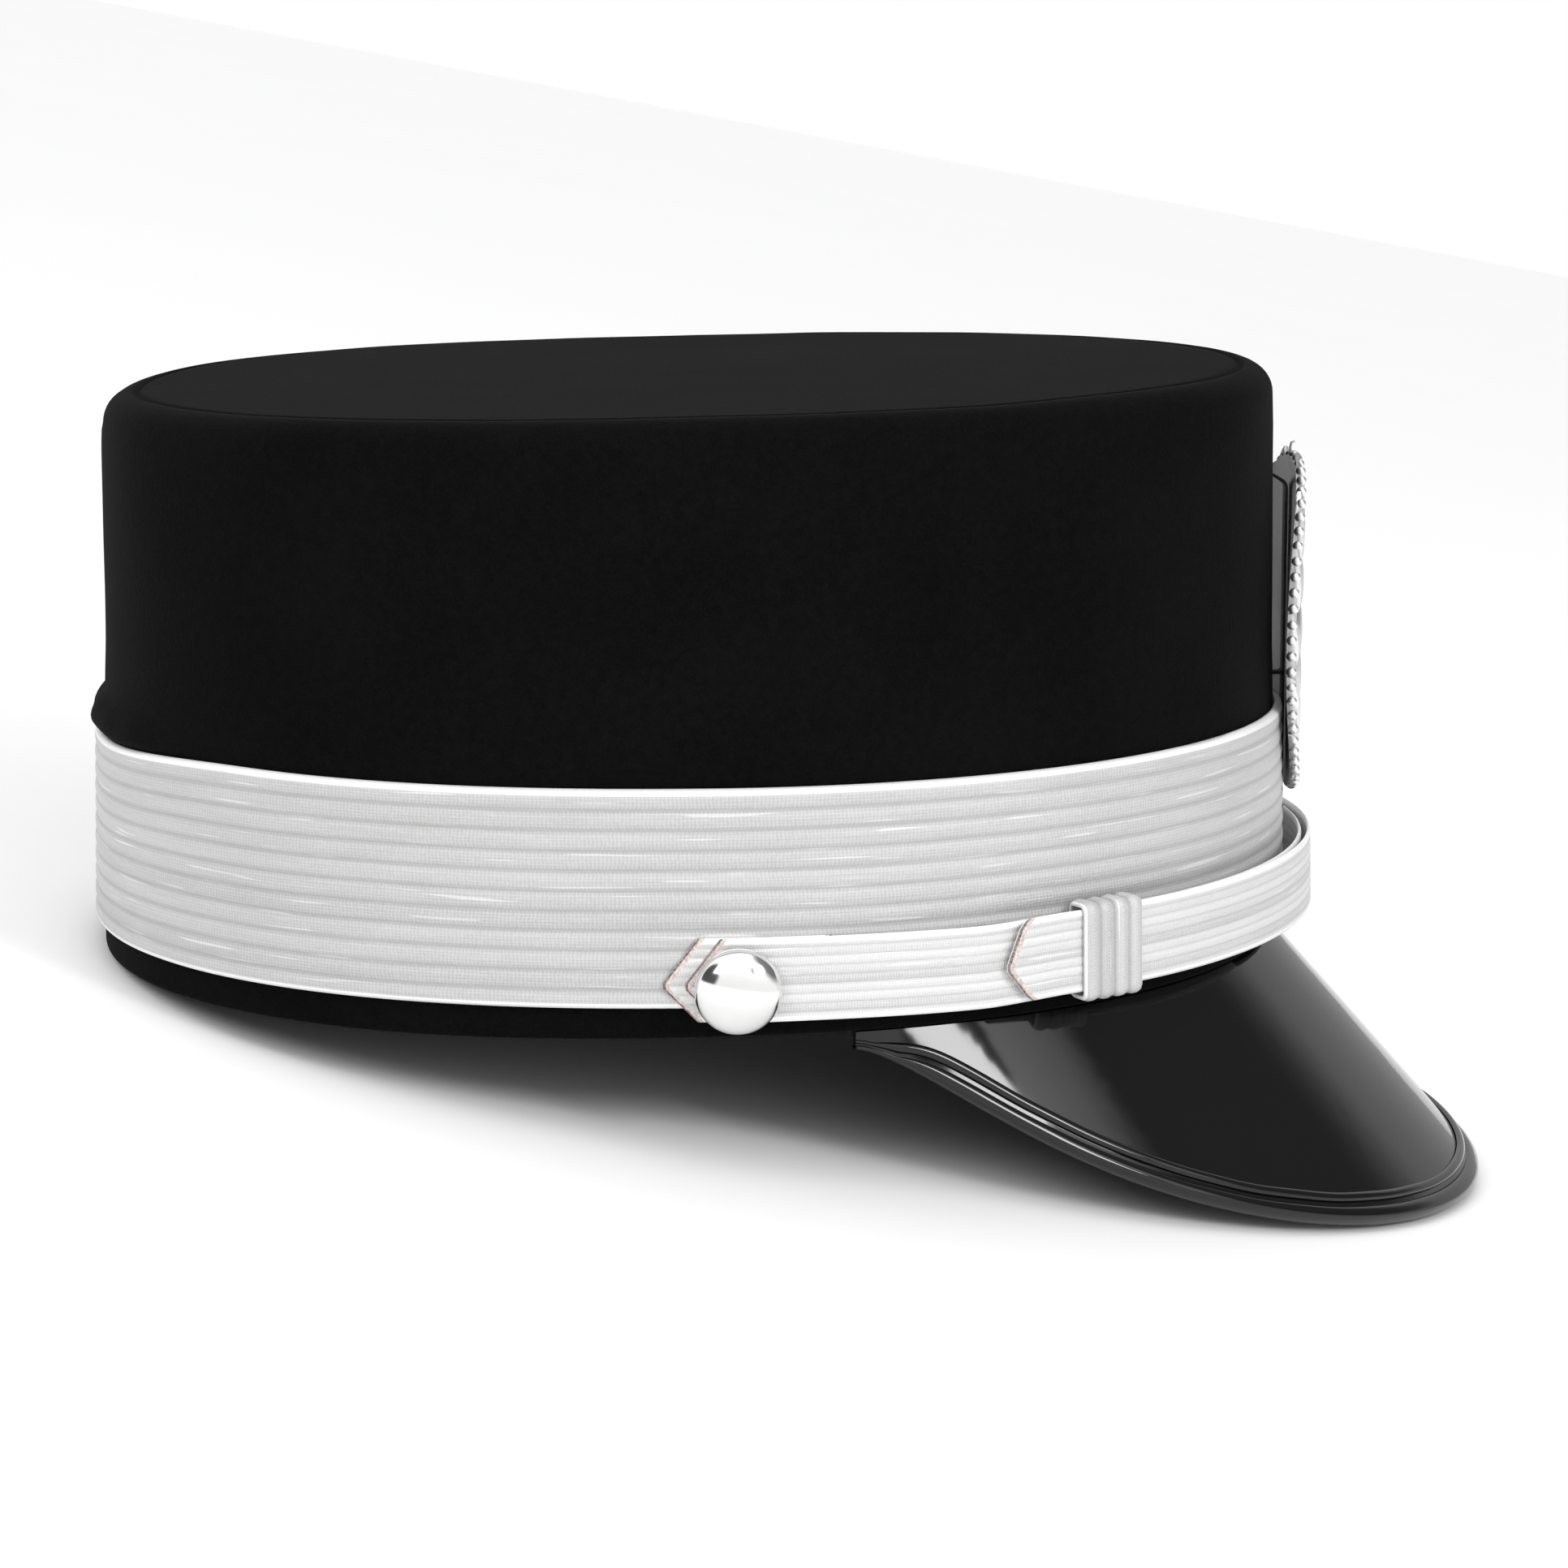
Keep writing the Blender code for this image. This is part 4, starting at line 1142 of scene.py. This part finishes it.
def slide_piece(name, centre):
    """A loop round both layers, at the height and the distance out that they have there."""
    centre_length = float(length_at(centre))
    shares = np.linspace(0, 1, SLIDE_RIBS * SLIDE_RIB_ROWS + 1)
    swells = SLIDE_THICKNESS - ribbed(shares, SLIDE_RIBS, SLIDE_RIB_DEPTH)
    swells[[0, -1]] = SLIDE_THICKNESS * SLIDE_EDGE
    places = centre_length + (shares - 0.5) * SLIDE_WIDTH
    steps = list(zip(places, swells))
    steps += [(steps[-1][0], 0.0), (centre_length, 0.0), (steps[0][0], 0.0)]
    rows, lay = [], []
    for position, swell in steps:
        turn = turn_at(position)
        low_height, inner = under_strap(turn)
        high_height, outer = over_strap(turn)
        half_up = (high_height - low_height + STRAP_WIDTH) / 2 + GAP + swell
        half_out = (outer + STRAP_THICKNESS - inner) / 2 + GAP + swell
        ups, outs, way = loop_points(half_up, half_out, SLIDE_CORNER + swell)
        rows.append(wall(turn, (low_height + high_height) / 2 + ups,
                         (inner + outer + STRAP_THICKNESS) / 2 + outs))
        lay.append(pairs(way, position - steps[0][0]))
    print(f"{name}: {mm(way[-1] + way[1])} mm round the loop")
    return skin(name, np.array(rows), np.array(lay), closed_along=True, closed_across=True)


slide_braid = braid_finish("slide_braid", tone=0.52, groove_shade=0.42, ribs=SLIDE_RIBS,
                           width=SLIDE_WIDTH, thread=0.00055, rib_change=0.3, edge_highlight_width=0.0004)
for word, centre in (("right", -SLIDE_TURN), ("left", SLIDE_TURN)):
    loop = slide_piece(f"slide_{word}_loop", centre)
    dress(loop, f"slide_{word}", "strap_braid", slide_braid, sharp=55)

# %% [markdown]
# The buttons are plain polished domes, turned and plated. A turned shape is a profile carried
# round an axis, so a grid of rings does it: the profile runs from the middle of the dome, over
# its rolled rim, and back to the middle behind. The dome has to be very smooth, because it
# mirrors the whole studio, and there is just enough uneven polish to keep it from looking new.

# %% Buttons
BUTTON_HEIGHT = 0.0086
BUTTON_DIAMETER = 0.0137
BUTTON_DOME = 0.0042
BUTTON_COLLAR = 0.0008
COLLAR_SHARE = 0.72
COLLAR_PROFILE = ((1.03, 1.0), (1.0, 0.8), (1.0, 0.0))
BUTTON_STEPS = 96
DOME_STEPS = 28
ROLL_STEPS = 9
ROLLED_EDGE = 0.0005
ROLL_FLATNESS = 0.6
DOME_FULLNESS = 1.12

# %% Build the buttons
def button_profile():
    """Radius and height of the profile, in metres, from the crown of the dome to its back."""
    radius = BUTTON_DIAMETER / 2
    points = []
    for a in sweep(90, 6, DOME_STEPS)[1:]:
        rise = (BUTTON_DOME - ROLLED_EDGE) * math.sin(a) ** DOME_FULLNESS
        points.append((radius * math.cos(a), BUTTON_COLLAR + ROLLED_EDGE + rise))
    for a in sweep(50, -100, ROLL_STEPS):
        points.append((radius - ROLLED_EDGE * (1 - math.cos(a)),
                       BUTTON_COLLAR + ROLL_FLATNESS * ROLLED_EDGE * (1 + math.sin(a))))
    collar = radius * COLLAR_SHARE
    return points + [(collar * share, BUTTON_COLLAR * rise) for share, rise in COLLAR_PROFILE]


def button_piece(name, turn, place):
    centre = wall(turn, BUTTON_HEIGHT, place(turn)[1] + STRAP_LAYER)
    axis = wall_away(turn)
    side = unit(np.cross(axis, (0, 0, 1)))
    lift = np.cross(side, axis)
    spins = np.linspace(0, 2 * math.pi, BUTTON_STEPS, endpoint=False)[:, None]
    rows, lay = [], []
    spokes = side * np.cos(spins) + lift * np.sin(spins)
    for radius, height in button_profile():
        rows.append(centre + axis * height + radius * spokes)
        lay.append(np.concatenate([spins * radius, 0 * spins + height], axis=1))
    poles = (centre + axis * (BUTTON_COLLAR + BUTTON_DOME), centre)
    return skin(name, np.array(rows), np.array(lay), closed_along=True, poles=poles)


finish = Finish("button_silver", Metallic=1.0)
rubbed = finish.cells(0.004, detail=3.0)
scratches = finish.cells(0.0012, stretch=(1, 1, 6))
colour = finish.mix(rubbed, grey(0.86, warm=0.005), grey(0.94, warm=0.005))
button_silver = finish.paint(colour, 0.07 + 0.08 * rubbed, scratches, 0.000006)
for word, turn, place in (("right", -BUTTON_TURN, under_strap), ("left", BUTTON_TURN, over_strap)):
    dome = button_piece(f"button_{word}_dome", turn, place)
    dress(dome, f"button_{word}", "button_silver", button_silver, sharp=45)

# %% [markdown]
# The badge stands off the crown on a narrow stiff black strip that is fixed to it above and
# caught again by a short link over the band. The strip's side view is drawn as a bent line
# with rounded elbows, thickened, and carried across its width. It leans out a little towards
# its top, and the badge on it leans with it.

# %% Badge holder
BADGE_HEIGHT = 0.0600
BADGE_WIDTH = 0.0480
BADGE_CENTRE = 0.0520
BADGE_LEAN = 0.00125
HOLDER_WIDTH = 0.0020
HOLDER_THICKNESS = 0.0005
HOLDER_TOP = 0.0785
HOLDER_DROP = 0.0019
HOLDER_LOW = 0.0185
HOLDER_LINK = 0.0430
HOLDER_BACK = BAND_OUT + GAP
HOLDER_FRONT = HOLDER_BACK + HOLDER_THICKNESS
HOLDER_STEPS = 7
OUTER_ELBOW = 0.0012
INNER_ELBOW = 0.0003
LOOP_ELBOW = 0.0007
BEND_STEPS = 6


def badge_lean(height):
    """How much further off the wall the badge stands at a height than at its foot."""
    return BADGE_LEAN * np.maximum(0.0, (height - BADGE_CENTRE) / BADGE_HEIGHT + 0.5)


def bent(corners, radius):
    """A line of (out, up) points with its inner corners rounded off."""
    line = [corners[0]]
    for before, corner, after in zip(*[map(Vector, corners[i:]) for i in range(3)]):
        back, on = before - corner, after - corner
        reach = min(radius, back.length / 2, on.length / 2)
        start, end = corner + back.normalized() * reach, corner + on.normalized() * reach
        for share in np.linspace(0, 1, BEND_STEPS + 1):
            point = start * (1 - share) ** 2 + corner * 2 * share * (1 - share) + end * share ** 2
            line.append(tuple(point))
    return line + [corners[-1]]


def leaning(base, *heights):
    """Points of one face of the strip, as far out as the badge leans at each height."""
    return [(base + float(badge_lean(height)), height) for height in heights]


def holder_outline():
    """The strip's side view as one closed line: outside face down, inside face up."""
    foot = BADGE_CENTRE - BADGE_HEIGHT / 2
    arm_top = HOLDER_TOP - HOLDER_DROP
    link_low = HOLDER_LINK - HOLDER_THICKNESS
    outside = [(GAP, HOLDER_TOP)] + leaning(HOLDER_FRONT, arm_top, foot, HOLDER_LOW)
    inside = leaning(HOLDER_BACK, HOLDER_LOW, foot, link_low) + [(GAP, link_low)]
    above = leaning(HOLDER_BACK, HOLDER_LINK, arm_top - HOLDER_THICKNESS)
    above = [(GAP, HOLDER_LINK)] + above + [(GAP, HOLDER_TOP - HOLDER_THICKNESS)]
    return bent(outside, OUTER_ELBOW) + bent(inside, INNER_ELBOW) + bent(above, LOOP_ELBOW)

# %% Build the holder
outline = np.array(holder_outline())
lengths = ways_along(outline)
print("the holder's strip laid flat:", mm(lengths[-1] / 2), "x", mm(HOLDER_WIDTH), "mm")
widths = np.linspace(-0.5, 0.5, HOLDER_STEPS) * HOLDER_WIDTH
grid = np.array([wall(turn_at(w), outline[:, 1], outline[:, 0]) for w in widths]).transpose(1, 0, 2)
lay = pairs(lengths[:, None], widths)
holder = skin("badge_holder_strip", grid, lay, closed_across=True)
close_ends(holder, grid)

finish = Finish("holder_black", Specular_IOR_Level=0.3)
pores = finish.cells(0.0007, detail=3.0)
rubbing = finish.cells(0.012)
colour = finish.mix(finish.between(pores, 0.3, 0.7), grey(0.006), grey(0.020))
holder_black = finish.paint(colour, 0.45 + 0.2 * rubbing, pores, 0.00012)
dress(holder, "badge_holder", "holder_black", holder_black, sharp=40)

# %% [markdown]
# The badge is seen from its edge: a cast oval about 2 mm thick with a row of bright beads
# along its rim and the bare end of a wire behind its top. Its face can't be
# seen, so it is finished plainly, as a wreath of pointed leaves round a bare domed centre. A
# cast piece is one body, but in a mesh it is simplest to lay each leaf as its own closed shape
# with its foot in the plate. Every shape is first made flat, as across, up and out, and then
# bent onto the curve of the cap's front.

# %% Badge shapes, laid flat
BADGE_PLATE = 0.0010
BADGE_RELIEF = 0.0009
LEAF_LENGTH = 0.0125
LEAF_WIDTH = 0.0056
LEAF_PAIRS = 7
LEAF_OVERLAP = 0.08
LEAF_FOOT = 0.2
LEAF_ROWS = 11
LEAF_COLUMNS = 9
LEAF_BELLY = 0.85
LEAF_TIP = 0.02
LEAF_SHARPNESS = 0.75
SWELL_START = 0.12
SWELL_RUN = 0.80
LEAF_SINK = 0.95
LEAF_CREST = 0.6
MIDRIB_DEPTH = 0.22
MIDRIB_WIDTH = 0.16
LEAF_SPLAY = math.radians(30)
FIRST_LEAF = 0.4
STEM_SPREAD = 0.3
WREATH_OPENING = math.radians(17)
BOSS_DIAMETER = 0.0190
BOSS_STRETCH = 1.2
BOSS_HEIGHT = 0.0011
BEAD_RADIUS = 0.0009
BEAD_SPACING = 0.0027
BALL_ROWS = 7
BALL_STEPS = 12
WIRE_RADIUS = 0.00022

STEM_INSET = LEAF_LENGTH * (1 - LEAF_OVERLAP) * math.sin(LEAF_SPLAY) + LEAF_WIDTH * STEM_SPREAD
STEM_ACROSS = BADGE_WIDTH / 2 - STEM_INSET
STEM_UP = BADGE_HEIGHT / 2 - STEM_INSET


def oval(half_across, half_up, steps, out=0.0):
    """Points round an oval as (across, up, out)."""
    spins = np.linspace(0, 2 * math.pi, steps, endpoint=False)
    across, up = half_across * np.cos(spins), half_up * np.sin(spins)
    return np.stack(np.broadcast_arrays(across, up, out), axis=-1)


def leaf_grid(base, heading, height):
    """A pointed leaf with a sunk midrib, as rows from its base to its tip."""
    start = -LEAF_OVERLAP * LEAF_LENGTH
    t = np.linspace(0, 1, LEAF_ROWS)[:, None]
    s = np.linspace(-1, 1, LEAF_COLUMNS)[None, :]
    belly = np.maximum(np.sin(math.pi * t ** LEAF_BELLY), LEAF_TIP)
    half = LEAF_WIDTH / 2 * belly ** LEAF_SHARPNESS
    crown = np.maximum(np.cos(s * math.pi / 2), 0.0) ** LEAF_CREST
    midrib = MIDRIB_DEPTH * np.exp(-(s / MIDRIB_WIDTH) ** 2)
    swell = np.sqrt(np.sin(math.pi * (SWELL_START + SWELL_RUN * t)))
    x, y = np.broadcast_arrays(start + t * LEAF_LENGTH, s * half)
    c, q = math.cos(heading), math.sin(heading)
    return np.stack([base[0] + x * c - y * q, base[1] + x * q + y * c,
                     LEAF_SINK * height * swell * (crown - midrib)], axis=-1)

# %% Gather a casting
class Casting:
    """Gathers the closed shapes of one casting as points and faces."""

    def __init__(self):
        self.points = []
        self.faces = []

    def add_rings(self, rings, first_pole, last_pole):
        """Closed rings with a pole at each end."""
        start = len(self.points)
        rings = np.asarray(rings)
        count, steps = rings.shape[:2]
        self.points += rings.reshape(-1, 3).tolist() + [list(first_pole), list(last_pole)]
        index = start + np.arange(count * steps).reshape(count, steps)
        index = np.concatenate([index, index[:, :1]], axis=1)
        self.faces += corners_of(index).tolist()
        for i in range(steps):
            self.faces.append([int(index[0, i + 1]), int(index[0, i]), start + count * steps])
            self.faces.append([int(index[-1, i]), int(index[-1, i + 1]), start + count * steps + 1])

    def add_ball(self, centre, radius):
        rings = []
        for a in np.linspace(0, math.pi, BALL_ROWS + 2)[1:-1]:
            size = radius * math.sin(a)
            rings.append(centre + oval(size, size, BALL_STEPS, -radius * math.cos(a)))
        lift = np.array([0.0, 0.0, radius])
        self.add_rings(rings, centre - lift, centre + lift)

    def add_leaf(self, grid, foot):
        """A leaf's face, with walls down to a flat foot."""
        low = grid.copy()
        low[..., 2] = foot
        rings = np.concatenate([grid + np.array([0, 0, foot]), low[:, ::-1]], axis=1)
        self.add_rings(rings, rings[0].mean(axis=0), rings[-1].mean(axis=0))

# %% Cast the badge
PLATE_ROUNDING = ((1.0, 0.0), (1.0, 0.6), (0.975, 0.92), (0.93, 1.0), (0.80, 0.94), (0.35, 0.92))
PLATE_STEPS = 96
BOSS_STEPS = 72
BOSS_ROWS = 12
RIM_LINE_STEPS = 720
WIRE_STEPS = 10
# Up and out along the wire, and the way up and out across it.
WIRE = ((0.0270, 0.0002, 0, 1), (0.0306, 0.0002, 0, 1), (0.0314, 0.0004, 0.3, 0.9),
        (0.0316, 0.0010, 0.9, 0.3))

casting = Casting()
plate_across, plate_up = BADGE_WIDTH / 2 - BEAD_RADIUS, BADGE_HEIGHT / 2 - BEAD_RADIUS
rings = [oval(plate_across * size, plate_up * size, PLATE_STEPS, out * BADGE_PLATE)
         for size, out in PLATE_ROUNDING]
casting.add_rings(rings, (0, 0, 0), (0, 0, PLATE_ROUNDING[-1][1] * BADGE_PLATE))

foot, top = math.radians(-90), math.radians(90) - WREATH_OPENING
leaf_foot, leaf_top = BADGE_PLATE * LEAF_FOOT, BADGE_PLATE + BADGE_RELIEF
for side in (-1, 1):
    for i in range(LEAF_PAIRS):
        angle = foot + (top - foot) * (i + FIRST_LEAF) / LEAF_PAIRS
        base = (side * STEM_ACROSS * math.cos(angle), STEM_UP * math.sin(angle))
        heading = math.atan2(STEM_UP * math.cos(angle), -side * STEM_ACROSS * math.sin(angle))
        for splay in (-1, 1):
            leaf = leaf_grid(base, heading + splay * LEAF_SPLAY, leaf_top - leaf_foot)
            casting.add_leaf(leaf, leaf_foot)

half, middle = BOSS_DIAMETER / 2, BADGE_PLATE * 0.5
rings = [oval(half * math.cos(a), half * BOSS_STRETCH * math.cos(a), BOSS_STEPS,
              middle + (middle + BOSS_HEIGHT) * math.sin(a))
         for a in np.linspace(0, math.pi / 2, BOSS_ROWS, endpoint=False)]
casting.add_rings(rings, (0, 0, middle), (0, 0, BADGE_PLATE + BOSS_HEIGHT))

rim_line = oval(plate_across, plate_up, RIM_LINE_STEPS)
ways = ways_along(rim_line)
beads = int(ways[-1] / BEAD_SPACING)
for way in np.linspace(0, ways[-1], beads, endpoint=False):
    across, up = [np.interp(way, ways, rim_line[:, axis]) for axis in (0, 1)]
    casting.add_ball(np.array([across, up, BEAD_RADIUS]), BEAD_RADIUS)

rings = [np.array([[across, up - c * near, out + c * far]
                   for across, c, _out in oval(WIRE_RADIUS, WIRE_RADIUS, WIRE_STEPS)])
         for up, out, near, far in WIRE]
casting.add_rings(rings, rings[0].mean(axis=0), rings[-1].mean(axis=0))

# %% Bend the badge onto the cap's front
flat = np.array(casting.points)
height = BADGE_CENTRE + flat[:, 1]
points = wall(turn_at(flat[:, 0]), height, HOLDER_FRONT + GAP + badge_lean(height) + flat[:, 2])
order = [i for face in casting.faces for i in face]
badge = piece_from("badge_casting", points.tolist(), casting.faces, flat[order, 1:])
print("beads round the rim:", beads)

# %% [markdown]
# Cast white metal is a silver grey that darkens in its hollows and shines on its high points,
# where hands have rubbed it. The height of the relief was stored with the mesh, so the finish
# can use it: low is dark and rough, high is bright and smoother. A fine bump is the skin that
# the mould leaves.

# %% Cast silver
finish = Finish("badge_silver", Metallic=1.0)
relief = finish.lay()[1]
high = finish.between(relief, BADGE_PLATE * 0.4, BADGE_PLATE + BADGE_RELIEF * 0.75)
sand = finish.cells(0.0006, detail=3.0)
stain = finish.cells(0.008, detail=3.0)
tone = finish.between(high * 0.65 + stain * 0.35 + sand * 0.15, 0.15, 0.85)
colour = finish.mix(tone, grey(0.42), grey(0.88, warm=0.005))
badge_silver = finish.paint(colour, 0.42 - 0.16 * tone + 0.08 * stain, sand, 0.00006)
dress(badge, "badge", "badge_silver", badge_silver, sharp=55)

# %% [markdown]
# The new pieces have to be as large as the solids that they stand for. Both boxes are
# printed, as plain lists.

# %% Measure and finish
new_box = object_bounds()
as_lists = {"cad": [list(map(float, corner)) for corner in frame_box],
            "visual": [list(map(float, corner)) for corner in new_box]}
print("box, solids:", as_lists["cad"])
print("box, pieces:", as_lists["visual"])
bpy.context.scene.view_settings.view_transform = "Standard"
